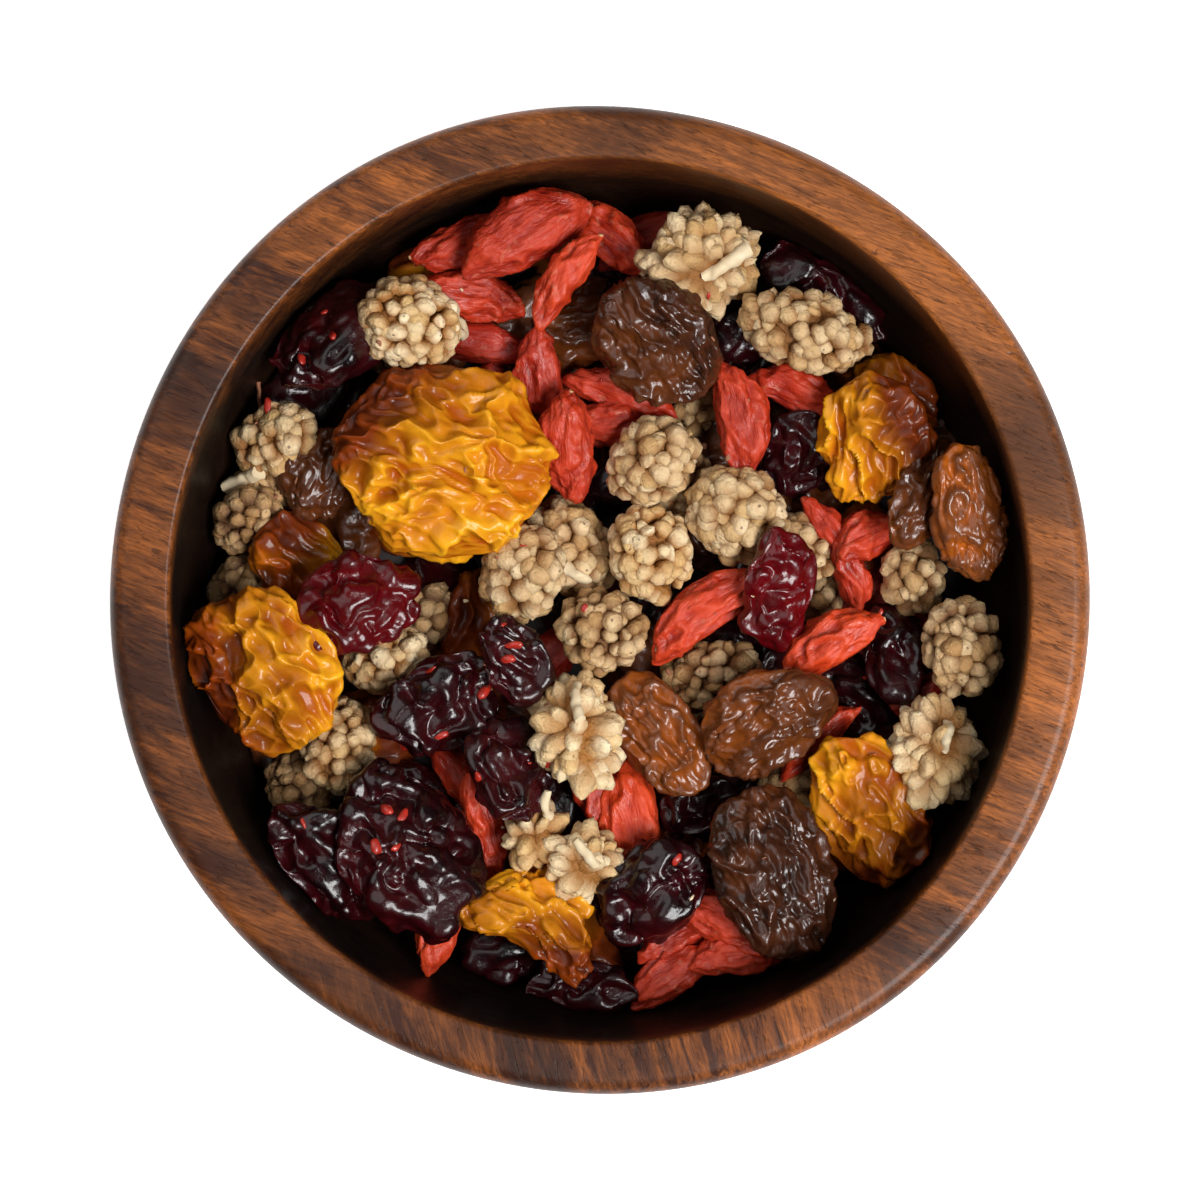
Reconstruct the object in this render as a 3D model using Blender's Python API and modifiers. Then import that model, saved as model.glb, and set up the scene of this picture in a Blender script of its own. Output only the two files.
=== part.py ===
"""A small turned acacia bowl, filled with a heap of mixed dried fruit.

Two solids: the bowl, and the heap, which is a smaller core with the fruit that shows fused on.
Metres, +Z up. The origin is the centre of the bowl's foot, on the surface that it stands on.
"""

import math
from collections import namedtuple

import bmesh
import bpy
import numpy as np
from mathutils import Matrix, Vector, noise

MM = 0.001

# The bowl
BOWL_DIAMETER = 105.0 * MM
BOWL_HEIGHT = 48.0 * MM
RIM_WIDTH = 6.2 * MM
RIM_OUTER_ROUND = 2.0 * MM
RIM_INNER_ROUND = 0.6 * MM
FLOOR_THICKNESS = 9.0 * MM
FOOT_RADIUS = 30.0 * MM
BOWL_SIDES = 48
INNER_BULGE = 2.8
INNER_SLOPE = 3.0
OUTER_BULGE = 1.61
OUTER_SLOPE = 1.7

# The rim is hand finished, so it is a little oval outside and more so inside
OUTER_OVAL = 0.005
OUTER_OVAL_TURN = math.radians(105)
OUTER_SQUARE = 0.0025
OUTER_SQUARE_TURN = math.radians(30)
INNER_OVAL = 0.013
INNER_OVAL_TURN = math.radians(90)

# The core of the heap, and the root that goes down into it under each fruit
CORE_GAP = 0.7 * MM
CORE_TOP = 23.0 * MM
CORE_SIDES = 30
ROOT_DEPTH = 1.5 * MM
ROOT_DRAW_IN = 0.3
ROOT_FROM = -0.8
ROOT_GAP = 2.0 * MM

# How the fruit lies: what it sinks into its neighbours, leans, and keeps clear of the wall
SINK = 0.9 * MM
CONTACT_SHARE = 0.8
MOST_LEAN = math.tan(math.radians(24))
WALL_GAP = 0.55 * MM
HEAP_TOP = 40.6 * MM
GRID_STEP = 0.8 * MM

# The plan of the fruit is on a square grid of steps seen from above, x to the right and y down.
# It's drawn as the eye sees it from a little over half a metre, so what lies deeper is spread more.
PLAN_CENTRE = (600, 598)
PLAN_BOWL_STEPS = 989
PLAN_STEP = BOWL_DIAMETER / PLAN_BOWL_STEPS
EYE_ABOVE_RIM = 550.0 * MM

INNER_RADIUS = BOWL_DIAMETER / 2 - RIM_WIDTH
INNER_DEPTH = BOWL_HEIGHT - FLOOR_THICKNESS

# x and y are steps of the plan, heading is degrees from +X towards +Y, and the sizes are millimetres
Fruit = namedtuple("Fruit", "kind x y heading length width form", defaults=("whole",))

GOJI, MULBERRY, RAISIN, CRANBERRY, GOLDEN = "goji", "mulberry", "raisin", "cranberry", "golden"

# From the bottom of the heap to the top, each layer lying on the ones before it
DEEP_LAYER = [
    Fruit(GOJI, 648, 218, 25, 12.0, 4.5),
    Fruit(GOJI, 480, 343, -5, 11.0, 4.5),
    Fruit(GOJI, 917, 692, 215, 9.0, 3.4),
    Fruit(GOJI, 458, 775, -60, 10.0, 4.0),
    Fruit(MULBERRY, 240, 477, 15, 9.0, 6.5),
    Fruit(MULBERRY, 235, 515, 40, 9.0, 7.0),
    Fruit(MULBERRY, 222, 583, 25, 8.5, 6.5),
    Fruit(MULBERRY, 290, 790, 70, 9.0, 7.5),
    Fruit(MULBERRY, 822, 595, 70, 6.5, 5.0),
    Fruit(MULBERRY, 800, 792, -30, 9.0, 7.0),
    Fruit(MULBERRY, 697, 405, 60, 7.0, 5.5),
    Fruit(MULBERRY, 425, 615, 50, 8.0, 6.0),
    Fruit(MULBERRY, 928, 785, -30, 9.0, 7.0),
    Fruit(MULBERRY, 405, 352, -15, 9.0, 7.0),
    Fruit(RAISIN, 582, 328, 5, 10.5, 7.5),
    Fruit(CRANBERRY, 310, 393, 20, 11.0, 8.5),
    Fruit(CRANBERRY, 497, 972, 5, 9.0, 7.0),
    Fruit(CRANBERRY, 855, 700, -60, 11.5, 8.0),
    Fruit(CRANBERRY, 745, 330, 30, 9.0, 7.0),
    Fruit(GOLDEN, 425, 265, 5, 9.0, 6.0),
    Fruit(GOLDEN, 475, 615, 70, 11.0, 7.5),
    Fruit(GOLDEN, 910, 388, -55, 11.0, 8.0),
]
LOWER_LAYER = [
    Fruit(GOJI, 465, 228, 208, 14.0, 5.2),
    Fruit(GOJI, 605, 216, -38, 13.0, 5.2),
    Fruit(GOJI, 470, 296, -10, 13.5, 5.4),
    Fruit(GOJI, 540, 373, 95, 11.0, 5.0),
    Fruit(GOJI, 622, 392, -20, 13.8, 4.4),
    Fruit(GOJI, 610, 423, 8, 9.5, 4.8),
    Fruit(GOJI, 795, 390, -24, 11.0, 4.8),
    Fruit(GOJI, 828, 530, -60, 9.5, 3.2),
    Fruit(GOJI, 850, 574, -70, 9.0, 3.5),
    Fruit(GOJI, 868, 534, 25, 9.0, 5.2),
    Fruit(GOJI, 815, 738, 42, 12.0, 3.8),
    Fruit(GOJI, 632, 812, 102, 12.5, 6.4),
    Fruit(GOJI, 590, 783, -75, 10.0, 4.0),
    Fruit(GOJI, 485, 825, -77, 13.0, 4.8),
    Fruit(GOJI, 433, 920, -88, 12.0, 4.8),
    Fruit(GOJI, 670, 972, 32, 11.0, 5.0),
    Fruit(GOJI, 745, 966, 6, 12.0, 5.0),
    Fruit(GOJI, 678, 932, 27, 11.0, 4.0),
    Fruit(GOJI, 720, 917, -30, 12.0, 5.2),
    Fruit(MULBERRY, 265, 432, 25, 10.5, 7.5),
    Fruit(MULBERRY, 385, 658, 22, 10.5, 6.8),
    Fruit(MULBERRY, 340, 742, 80, 11.5, 8.5),
    Fruit(MULBERRY, 568, 545, -60, 11.5, 9.0),
    Fruit(MULBERRY, 688, 483, 60, 8.0, 6.0),
    Fruit(MULBERRY, 712, 676, 15, 11.0, 8.5),
    Fruit(MULBERRY, 803, 545, -50, 8.0, 5.8),
    Fruit(MULBERRY, 912, 575, -75, 8.8, 6.8),
    Fruit(RAISIN, 320, 470, 70, 10.0, 8.5),
    Fruit(CRANBERRY, 798, 450, 80, 10.0, 8.5),
    Fruit(CRANBERRY, 825, 290, -35, 15.5, 6.0),
    Fruit(CRANBERRY, 893, 650, -80, 12.0, 7.5),
    Fruit(CRANBERRY, 582, 985, -4, 12.0, 5.5),
    Fruit(CRANBERRY, 697, 803, 25, 8.5, 6.5),
    Fruit(GOLDEN, 303, 565, -45, 12.0, 9.5),
]
UPPER_LAYER = [
    Fruit(GOJI, 523, 233, 28, 16.3, 7.4),
    Fruit(GOJI, 568, 445, 92, 12.8, 6.2),
    Fruit(GOJI, 740, 420, -81, 13.4, 5.8),
    Fruit(GOJI, 705, 610, 36, 16.0, 5.8),
    Fruit(GOJI, 830, 643, 32, 13.0, 5.6),
    Fruit(MULBERRY, 522, 568, 75, 10.8, 9.4),
    Fruit(MULBERRY, 650, 551, 100, 10.4, 9.8),
    Fruit(MULBERRY, 652, 458, 35, 10.8, 9.0),
    Fruit(MULBERRY, 737, 512, -40, 12.0, 10.0),
    Fruit(MULBERRY, 603, 628, 40, 10.0, 9.6),
    Fruit(MULBERRY, 700, 262, 20, 15.0, 11.5, "split"),
    Fruit(MULBERRY, 803, 330, -20, 14.6, 9.0),
    Fruit(MULBERRY, 960, 647, -75, 11.3, 9.0),
    Fruit(MULBERRY, 942, 752, 85, 12.3, 9.8, "split"),
    Fruit(MULBERRY, 533, 835, 10, 7.5, 6.5, "split"),
    Fruit(MULBERRY, 583, 862, -40, 8.5, 8.0, "split"),
    Fruit(CRANBERRY, 328, 320, 38, 15.5, 10.0),
    Fruit(CRANBERRY, 322, 868, -50, 15.5, 8.5),
    Fruit(CRANBERRY, 440, 703, 25, 14.5, 10.0),
    Fruit(CRANBERRY, 652, 888, 40, 13.0, 10.0),
    Fruit(RAISIN, 658, 732, -55, 15.0, 9.0),
    Fruit(RAISIN, 922, 492, 62, 13.5, 6.0),
    Fruit(GOLDEN, 535, 918, -30, 15.5, 9.5, "bent"),
    Fruit(GOLDEN, 875, 812, -70, 17.0, 11.5),
    Fruit(GOLDEN, 873, 437, 80, 14.8, 12.2),
]
TOP_LAYER = [
    Fruit(MULBERRY, 408, 323, -15, 12.0, 10.0),
    Fruit(GOJI, 565, 278, 56, 12.3, 4.0),
    Fruit(MULBERRY, 577, 730, -76, 14.5, 8.8, "split"),
    Fruit(RAISIN, 656, 340, -55, 14.8, 13.0),
    Fruit(RAISIN, 766, 718, 32, 15.8, 10.8),
    Fruit(RAISIN, 772, 870, -72, 19.0, 13.0),
    Fruit(RAISIN, 968, 510, -78, 15.0, 8.0),
    Fruit(CRANBERRY, 515, 657, -50, 10.0, 7.5),
    Fruit(CRANBERRY, 510, 770, -75, 12.0, 8.8),
    Fruit(CRANBERRY, 405, 850, -65, 19.0, 14.5),
    Fruit(CRANBERRY, 778, 588, 80, 13.0, 8.3),
    Fruit(CRANBERRY, 360, 600, 25, 13.0, 11.0),
    Fruit(GOLDEN, 443, 458, -20, 22.8, 21.0),
    Fruit(GOLDEN, 254, 670, -55, 18.2, 15.2),
]

# The lowest that the middle of a fruit lies, layer by layer, and how much higher that is at the wall
LAYER_HEIGHTS = [25.5 * MM, 29.0 * MM, 33.0 * MM, 36.0 * MM]
LAYER_RISE = 3.5 * MM

# Thickness as a share of the width, and the depth of the relief as a share of the radius
THICKNESS = {GOJI: 0.80, MULBERRY: 0.85, RAISIN: 0.50, CRANBERRY: 0.52, GOLDEN: 0.42}
RELIEF = {GOJI: 0.06, MULBERRY: 0.10, RAISIN: 0.08, CRANBERRY: 0.14, GOLDEN: 0.11}
RELIEF_SCALE = {GOJI: 1.3, MULBERRY: 2.6, RAISIN: 2.0, CRANBERRY: 1.6, GOLDEN: 2.2}
TIP_POWER = {GOJI: 1.25, MULBERRY: 0.9, RAISIN: 0.95, CRANBERRY: 0.95, GOLDEN: 0.95}
BEND = 0.35

# Sides round a fruit and rings along it, layer by layer
LAYER_SIDES = [(5, 4), (7, 5), (8, 6), (10, 8)]

# Colours, roughness and metallic of the finishes
FINISHES = {
    "acacia": ((0.20, 0.082, 0.034), 0.42),
    GOJI: ((0.48, 0.028, 0.012), 0.50),
    MULBERRY: ((0.56, 0.40, 0.23), 0.75),
    RAISIN: ((0.12, 0.042, 0.016), 0.30),
    CRANBERRY: ((0.035, 0.004, 0.008), 0.25),
    GOLDEN: ((0.62, 0.24, 0.012), 0.32),
}


def clear_scene():
    for obj in list(bpy.data.objects):
        bpy.data.objects.remove(obj)


def new_collection(name):
    made = bpy.data.collections.new(name)
    bpy.context.scene.collection.children.link(made)
    return made


def finish(name):
    """One Principled material of the table above."""
    colour, roughness = FINISHES[name]
    material = bpy.data.materials.new(name)
    material.use_nodes = True
    shader = material.node_tree.nodes["Principled BSDF"]
    shader.inputs["Base Color"].default_value = (*colour, 1.0)
    shader.inputs["Roughness"].default_value = roughness
    shader.inputs["Metallic"].default_value = 0.0
    return material


def object_of(mesh, name, collection):
    obj = bpy.data.objects.new(name, mesh)
    collection.objects.link(obj)
    return obj


# The bowl


def inner_radius(z):
    """Radius of the hollow at height z, before the hand finishing."""
    depth = np.clip((BOWL_HEIGHT - z) / INNER_DEPTH, 0, 1)
    return INNER_RADIUS * (1 - depth**INNER_SLOPE) ** (1 / INNER_BULGE)


def outer_radius(z):
    depth = np.clip((BOWL_HEIGHT - z) / BOWL_HEIGHT, 0, 1)
    swell = (1 - depth**OUTER_SLOPE) ** (1 / OUTER_BULGE)
    return FOOT_RADIUS + (BOWL_DIAMETER / 2 - FOOT_RADIUS) * swell


def bowl_profile(hollow_points=10, side_points=7):
    """From the middle of the hollow's floor, over the rim, to the middle of the foot."""
    floor, top = FLOOR_THICKNESS, BOWL_HEIGHT
    points = [(0.0, floor)]
    for i in range(hollow_points):
        turn = math.pi / 2 * (i + 1) / hollow_points
        z = floor + (top - RIM_INNER_ROUND - floor) * (1 - math.cos(turn)) ** 1.15
        points.append((float(inner_radius(z)), z))
    points.append((INNER_RADIUS + RIM_INNER_ROUND, top))
    corner = (BOWL_DIAMETER / 2 - RIM_OUTER_ROUND, top - RIM_OUTER_ROUND)
    for turn in (90, 45, 0):
        points.append(
            (
                corner[0] + RIM_OUTER_ROUND * math.cos(math.radians(turn)),
                corner[1] + RIM_OUTER_ROUND * math.sin(math.radians(turn)),
            )
        )
    for i in range(1, side_points):
        z = corner[1] * (1 - i / side_points) ** 1.9
        points.append((float(outer_radius(z)), z))
    points.append((FOOT_RADIUS, 0.0))
    points.append((0.0, 0.0))
    return points


def outer_factor(angle, z):
    """How far the hand finishing moves the outside in or out, most at the rim."""
    oval = OUTER_OVAL * np.cos(2 * (angle - OUTER_OVAL_TURN))
    square = OUTER_SQUARE * np.cos(4 * (angle - OUTER_SQUARE_TURN))
    return 1 + (oval + square) * z / BOWL_HEIGHT


def inner_factor(angle, z):
    return 1 + INNER_OVAL * np.cos(2 * (angle - INNER_OVAL_TURN)) * z / BOWL_HEIGHT


def hand_shape(mesh):
    """Pulls the turned wall a little oval: the outside by one rule and the hollow by another."""
    for vertex in mesh.vertices:
        x, y, z = vertex.co
        radius, angle = math.hypot(x, y), math.atan2(y, x)
        middle = (inner_radius(z) + outer_radius(z)) / 2
        factor = outer_factor(angle, z) if radius > middle else inner_factor(angle, z)
        vertex.co = (x * factor, y * factor, z)


def turned(name, profile, sides, collection):
    """A closed solid of revolution from a profile that starts and ends on the axis."""
    mesh = bpy.data.meshes.new(name)
    points = [(x, 0.0, z) for x, z in profile]
    mesh.from_pydata(points, [(i, i + 1) for i in range(len(points) - 1)], [])
    obj = object_of(mesh, name, collection)
    screw = obj.modifiers.new("turn", "SCREW")
    screw.steps = screw.render_steps = sides
    screw.use_merge_vertices = True
    screw.merge_threshold = 1e-6
    screw.use_smooth_shade = True
    graph = bpy.context.evaluated_depsgraph_get()
    solid = bpy.data.meshes.new_from_object(obj.evaluated_get(graph))
    obj.modifiers.clear()
    obj.data = solid
    bpy.data.meshes.remove(mesh)
    solid.name = name
    return obj


def build_bowl(collection):
    bowl = turned("bowl", bowl_profile(), BOWL_SIDES, collection)
    hand_shape(bowl.data)
    bowl.data.materials.append(finish("acacia"))
    return bowl


# Where each fruit lies


def plan_position(fruit, depth):
    """Where a fruit's middle is, from its place in the plan and its depth below the rim."""
    spread = PLAN_STEP * (1 + depth / EYE_ABOVE_RIM)
    return np.array([fruit.x - PLAN_CENTRE[0], PLAN_CENTRE[1] - fruit.y]) * spread


def half_sizes(fruit):
    half = np.array([fruit.length, fruit.width, fruit.width * THICKNESS[fruit.kind]])
    return half * MM / 2


def sphere_points(rings=9, sides=16):
    """Points spread over a unit sphere, to test a fruit against the wall."""
    points = [
        (math.sin(a) * math.cos(b), math.sin(a) * math.sin(b), math.cos(a))
        for a in (math.pi * (i + 0.5) / rings for i in range(rings))
        for b in (2 * math.pi * j / sides for j in range(sides))
    ]
    return np.array(points)


def lie(place, height, slope, heading):
    """The matrix of a fruit that lies at a place with its flat side on a slope."""
    normal = Vector((-slope[0], -slope[1], 1)).normalized()
    lean = Vector((0, 0, 1)).rotation_difference(normal).to_matrix().to_4x4()
    turn = Matrix.Rotation(math.radians(heading), 4, "Z")
    return Matrix.Translation((place[0], place[1], height)) @ lean @ turn


def push_from_wall(place, matrix, half, ball):
    """Moves a place towards the middle until the fruit clears the bowl's wall."""
    turned_points = np.array(matrix.to_3x3()) @ (ball * half).T
    x, y = turned_points[0] + place[0], turned_points[1] + place[1]
    heights = turned_points[2] + matrix.translation.z
    room = inner_radius(heights) * inner_factor(np.arctan2(y, x), heights) - WALL_GAP
    over = max(0.0, float((np.hypot(x, y) - room).max()))
    distance = math.hypot(*place)
    return place * (1 - over / distance) if over > 0 and distance > over else place


def settle(layers):
    """Drops the fruits one after another on a height map of the heap, and returns their matrices."""
    side = np.arange(-INNER_RADIUS, INNER_RADIUS + GRID_STEP, GRID_STEP)
    grid_x, grid_y = np.meshgrid(side, side, indexing="ij")
    surface = np.full(grid_x.shape, CORE_TOP)
    ball = sphere_points()
    matrices = []
    for fruit, lowest in [(f, h) for layer, h in zip(layers, LAYER_HEIGHTS) for f in layer]:
        half, place = half_sizes(fruit), plan_position(fruit, BOWL_HEIGHT - lowest)
        heading = math.radians(fruit.heading)
        for _ in range(3):
            along = (grid_x - place[0]) * math.cos(heading) + (grid_y - place[1]) * math.sin(heading)
            across = (grid_y - place[1]) * math.cos(heading) - (grid_x - place[0]) * math.sin(heading)
            spread = (along / half[0]) ** 2 + (across / half[1]) ** 2
            under = spread < 0.9
            bulge = half[2] * np.sqrt(1 - spread[under])
            columns = np.stack(
                [grid_x[under] - place[0], grid_y[under] - place[1], np.ones(under.sum())], axis=1
            )
            slope = np.linalg.lstsq(columns, surface[under], rcond=None)[0][:2]
            slope *= min(1.0, MOST_LEAN / max(float(np.hypot(*slope)), 1e-9))
            plane = columns[:, :2] @ slope
            touch = surface[under] - plane + bulge
            rise = LAYER_RISE * (math.hypot(*place) / INNER_RADIUS) ** 2
            height = max(float(np.quantile(touch, CONTACT_SHARE)) - SINK, lowest + rise)
            height = min(height, HEAP_TOP - half[2])
            matrix = lie(place, height, slope, fruit.heading)
            moved = push_from_wall(place, matrix, half, ball)
            if np.allclose(moved, place):
                break
            place = moved
        surface[under] = np.maximum(surface[under], height + plane + bulge)
        matrices.append(matrix)
    return matrices


# The heap


def fruit_point(fruit, direction, seed):
    """The point of the fruit's skin that lies in a direction from its middle."""
    half = half_sizes(fruit)
    x, y, z = direction
    girth = max(1e-6, 1 - x * x) ** ((TIP_POWER[fruit.kind] - 1) / 2)
    bump = noise.noise(Vector(direction) * RELIEF_SCALE[fruit.kind] + Vector((seed, 0, 0)))
    swell = min(1.0, 1 + RELIEF[fruit.kind] * (2 * bump - 0.25))
    point = Vector((x * half[0], y * girth * half[1], z * girth * half[2])) * swell
    if fruit.form == "bent":
        point.y -= BEND * (point.x**2 / half[0]) - BEND * half[0] / 3
    if fruit.form == "split":
        point.z -= 0.25 * half[2] * math.exp(-((3 * y) ** 2)) * max(0.0, z)
    return point


def fruit_mesh(fruit, sides, rings, seed, matrix):
    """A round form in its place, whose poles are at the fruit's two ends.

    The underside is drawn down into the core, so that every fruit is held.
    """
    shape = bmesh.new()
    bmesh.ops.create_uvsphere(shape, u_segments=sides, v_segments=rings, radius=1.0)
    for vertex in shape.verts:
        x, y, z = vertex.co
        point = matrix @ fruit_point(fruit, (z, x, y), seed)
        if y < ROOT_FROM * math.hypot(x, y) and abs(z) < 0.7:
            point = point.lerp(matrix.translation, ROOT_DRAW_IN)
            point.z = CORE_TOP - ROOT_DEPTH
            room = float(inner_radius(point.z)) - ROOT_GAP
            point.xy *= min(1.0, room / math.hypot(point.x, point.y))
        vertex.co = point
    mesh = bpy.data.meshes.new(fruit.kind)
    shape.to_mesh(mesh)
    shape.free()
    return mesh


def core_profile(wall_points=6):
    """From the core's middle top, along its top, and down beside the wall to its middle bottom."""
    edge = float(inner_radius(CORE_TOP)) - CORE_GAP
    points = [(edge * i / 2, CORE_TOP) for i in range(3)]
    bottom = FLOOR_THICKNESS + CORE_GAP
    for i in range(1, wall_points):
        z = bottom + (CORE_TOP - bottom) * (1 - i / wall_points) ** 1.3
        points.append((float(inner_radius(z - CORE_GAP)) - CORE_GAP, z))
    points.append((0.45 * points[-1][0], bottom))
    points.append((0.0, bottom))
    return points


def build_core(collection):
    """The core: a turned plug that fills the lower half of the bowl."""
    core = turned("dried_fruit", core_profile(), CORE_SIDES, collection)
    for vertex in core.data.vertices:
        x, y, z = vertex.co
        factor = inner_factor(math.atan2(y, x), z)
        vertex.co = (x * factor, y * factor, z)
    return core


def outer_shell(mesh):
    """Keeps the largest connected surface, which drops sealed hollows and loose scraps."""
    shape = bmesh.new()
    shape.from_mesh(mesh)
    bmesh.ops.triangulate(shape, faces=shape.faces)
    same_corners = {}
    for face in shape.faces:
        same_corners.setdefault(frozenset(face.verts), []).append(face)
    folded = [face for faces in same_corners.values() if len(faces) > 1 for face in faces]
    bmesh.ops.delete(shape, geom=folded, context="FACES")
    unseen, shells = set(shape.verts), []
    while unseen:
        shell, edge = set(), {unseen.pop()}
        while edge:
            shell |= edge
            edge = {e.other_vert(v) for v in edge for e in v.link_edges} - shell
        unseen -= shell
        shells.append(shell)
    largest = max(shells, key=len)
    loose = [v for v in shape.verts if v not in largest]
    bmesh.ops.delete(shape, geom=loose, context="VERTS")
    shape.to_mesh(mesh)
    shape.free()
    return len(shells)


def build_heap(collection):
    layers = [DEEP_LAYER, LOWER_LAYER, UPPER_LAYER, TOP_LAYER]
    fruits = [fruit for layer in layers for fruit in layer]
    details = [LAYER_SIDES[i] for i, layer in enumerate(layers) for _ in layer]
    matrices = settle(layers)
    core = build_core(collection)
    pieces = new_collection("fruit pieces")
    finishes = {kind: finish(kind) for kind in THICKNESS}
    core.data.materials.append(finishes[CRANBERRY])
    for seed, (fruit, matrix) in enumerate(zip(fruits, matrices)):
        mesh = fruit_mesh(fruit, *details[seed], seed * 7.3, matrix)
        mesh.materials.append(finishes[fruit.kind])
        object_of(mesh, f"{fruit.kind}_{seed:03d}", pieces)
    join = core.modifiers.new("join", "BOOLEAN")
    join.operation = "UNION"
    join.operand_type = "COLLECTION"
    join.collection = pieces
    join.solver = "MANIFOLD"
    join.material_mode = "TRANSFER"
    bpy.context.view_layer.update()
    graph = bpy.context.evaluated_depsgraph_get()
    heap = bpy.data.meshes.new_from_object(core.evaluated_get(graph))
    core.modifiers.clear()
    core.data = heap
    heap.name = "dried_fruit"
    for piece in list(pieces.objects):
        bpy.data.objects.remove(piece)
    bpy.data.collections.remove(pieces)
    shells = outer_shell(heap)
    top = max(vertex.co.z for vertex in heap.vertices)
    print(f"heap: {len(heap.polygons)} triangles, {shells} shells, top at {top * 1000:.1f} mm")
    return core


def main():
    clear_scene()
    collection = new_collection("bowl of mixed dried fruit")
    build_bowl(collection)
    build_heap(collection)


main()
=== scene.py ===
# %% [markdown]
# # Mixed dried fruit in a small acacia bowl
#
# The real thing is a thick-walled bowl turned from one block of acacia, filled almost to the rim
# with dried goji berries, white mulberries, raisins, cranberries and golden berries. The packed
# model gives the frame: a bowl and one solid for the heap. Everything that is seen is made here,
# in metres, in the same place as those two solids.

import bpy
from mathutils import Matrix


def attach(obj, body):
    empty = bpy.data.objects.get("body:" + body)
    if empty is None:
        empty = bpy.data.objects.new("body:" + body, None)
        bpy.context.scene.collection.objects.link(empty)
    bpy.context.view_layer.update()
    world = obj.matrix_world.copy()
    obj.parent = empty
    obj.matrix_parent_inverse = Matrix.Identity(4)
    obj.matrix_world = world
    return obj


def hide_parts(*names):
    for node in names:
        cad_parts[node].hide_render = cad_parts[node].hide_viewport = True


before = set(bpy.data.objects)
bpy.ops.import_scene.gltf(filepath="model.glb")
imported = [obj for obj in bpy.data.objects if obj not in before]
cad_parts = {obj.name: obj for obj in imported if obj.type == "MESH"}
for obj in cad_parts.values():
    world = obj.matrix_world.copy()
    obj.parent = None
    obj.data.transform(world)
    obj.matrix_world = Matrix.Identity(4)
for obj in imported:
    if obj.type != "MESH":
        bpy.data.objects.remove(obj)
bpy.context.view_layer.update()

# %% What the cells below need
import math
from collections import namedtuple

import bmesh
import bpy
import numpy as np
from mathutils import Matrix, Vector, noise
from mathutils.bvhtree import BVHTree

MM = 0.001
scene = bpy.context.scene

# %% [markdown]
# ## A short way to wire nodes
#
# Geometry and shader trees are built in the script. A formula of ten nodes takes forty lines when
# every node and link is written out, and then nobody can read it. This small class adds a node and
# joins its inputs in one call: a socket is linked, and a number is typed in.


# %% Wiring
class Wiring:
    """Adds nodes to one tree. An input is given by its place or its name."""

    def __init__(self, tree):
        self.tree = tree

    def node(self, kind, inputs=(), **settings):
        made = self.tree.nodes.new(kind)
        for key, value in settings.items():
            setattr(made, key, value)
        pairs = inputs.items() if isinstance(inputs, dict) else enumerate(inputs)
        for key, value in pairs:
            if isinstance(value, bpy.types.NodeSocket):
                self.tree.links.new(value, made.inputs[key])
            elif value is not None:
                made.inputs[key].default_value = value
        return made

    def math(self, operation, *values, clamp=False):
        return self.node("ShaderNodeMath", values, operation=operation, use_clamp=clamp).outputs[0]

    def vector(self, operation, *values, out=0):
        return self.node("ShaderNodeVectorMath", values, operation=operation).outputs[out]

    def scaled(self, vector, factor):
        inputs = {"Vector": vector, "Scale": factor}
        return self.node("ShaderNodeVectorMath", inputs, operation="SCALE").outputs[0]

    def split(self, vector):
        return self.node("ShaderNodeSeparateXYZ", [vector]).outputs

    def joined(self, x, y, z):
        return self.node("ShaderNodeCombineXYZ", [x, y, z]).outputs[0]

    def noise(self, vector, scale, detail=2.0, roughness=0.5, distortion=0.0, seed=None, out=0):
        inputs = {
            "Vector": vector,
            "Scale": scale,
            "Detail": detail,
            "Roughness": roughness,
            "Distortion": distortion,
        }
        settings = {}
        if seed is not None:
            inputs["W"] = seed
            settings["noise_dimensions"] = "4D"
        return self.node("ShaderNodeTexNoise", inputs, **settings).outputs[out]

    def remap(self, value, low, high, to_low=0.0, to_high=1.0):
        inputs = [value, low, high, to_low, to_high]
        return self.node("ShaderNodeMapRange", inputs).outputs[0]

    def mix_colour(self, factor, first, second):
        return self.node("ShaderNodeMix", {0: factor, 6: first, 7: second}, data_type="RGBA").outputs[2]

    def mix_value(self, factor, first, second):
        return self.node("ShaderNodeMix", {0: factor, 2: first, 3: second}, data_type="FLOAT").outputs[0]

    def attribute(self, name, kind="FLOAT"):
        """A value that was stored on the geometry under a name."""
        return self.node("GeometryNodeInputNamedAttribute", {"Name": name}, data_type=kind).outputs[0]

    def store(self, geometry, name, value, kind="FLOAT", domain="POINT"):
        inputs = {"Geometry": geometry, "Name": name, "Value": value}
        settings = {"data_type": kind, "domain": domain}
        return self.node("GeometryNodeStoreNamedAttribute", inputs, **settings).outputs[0]

    def blurred(self, value, steps):
        inputs = {"Value": value, "Iterations": steps}
        return self.node("GeometryNodeBlurAttribute", inputs, data_type="FLOAT").outputs[0]


def new_tree(name, kind, inputs, outputs):
    """A node tree with named inputs and outputs, and the two nodes that carry them."""
    tree = bpy.data.node_groups.new(name, kind)
    for label, socket, start in inputs:
        made = tree.interface.new_socket(label, in_out="INPUT", socket_type=socket)
        if start is not None:
            made.default_value = start
    for label, socket in outputs:
        tree.interface.new_socket(label, in_out="OUTPUT", socket_type=socket)
    wiring = Wiring(tree)
    start = wiring.node("NodeGroupInput")
    end = wiring.node("NodeGroupOutput")
    return tree, wiring, start.outputs, end.inputs


def rgb(red, green, blue):
    """A colour from its 0 to 255 numbers, as they're read in a paint program."""
    parts = [c / 255 for c in (red, green, blue)]
    return (*[c / 12.92 if c <= 0.04045 else ((c + 0.055) / 1.055) ** 2.4 for c in parts], 1.0)

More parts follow.
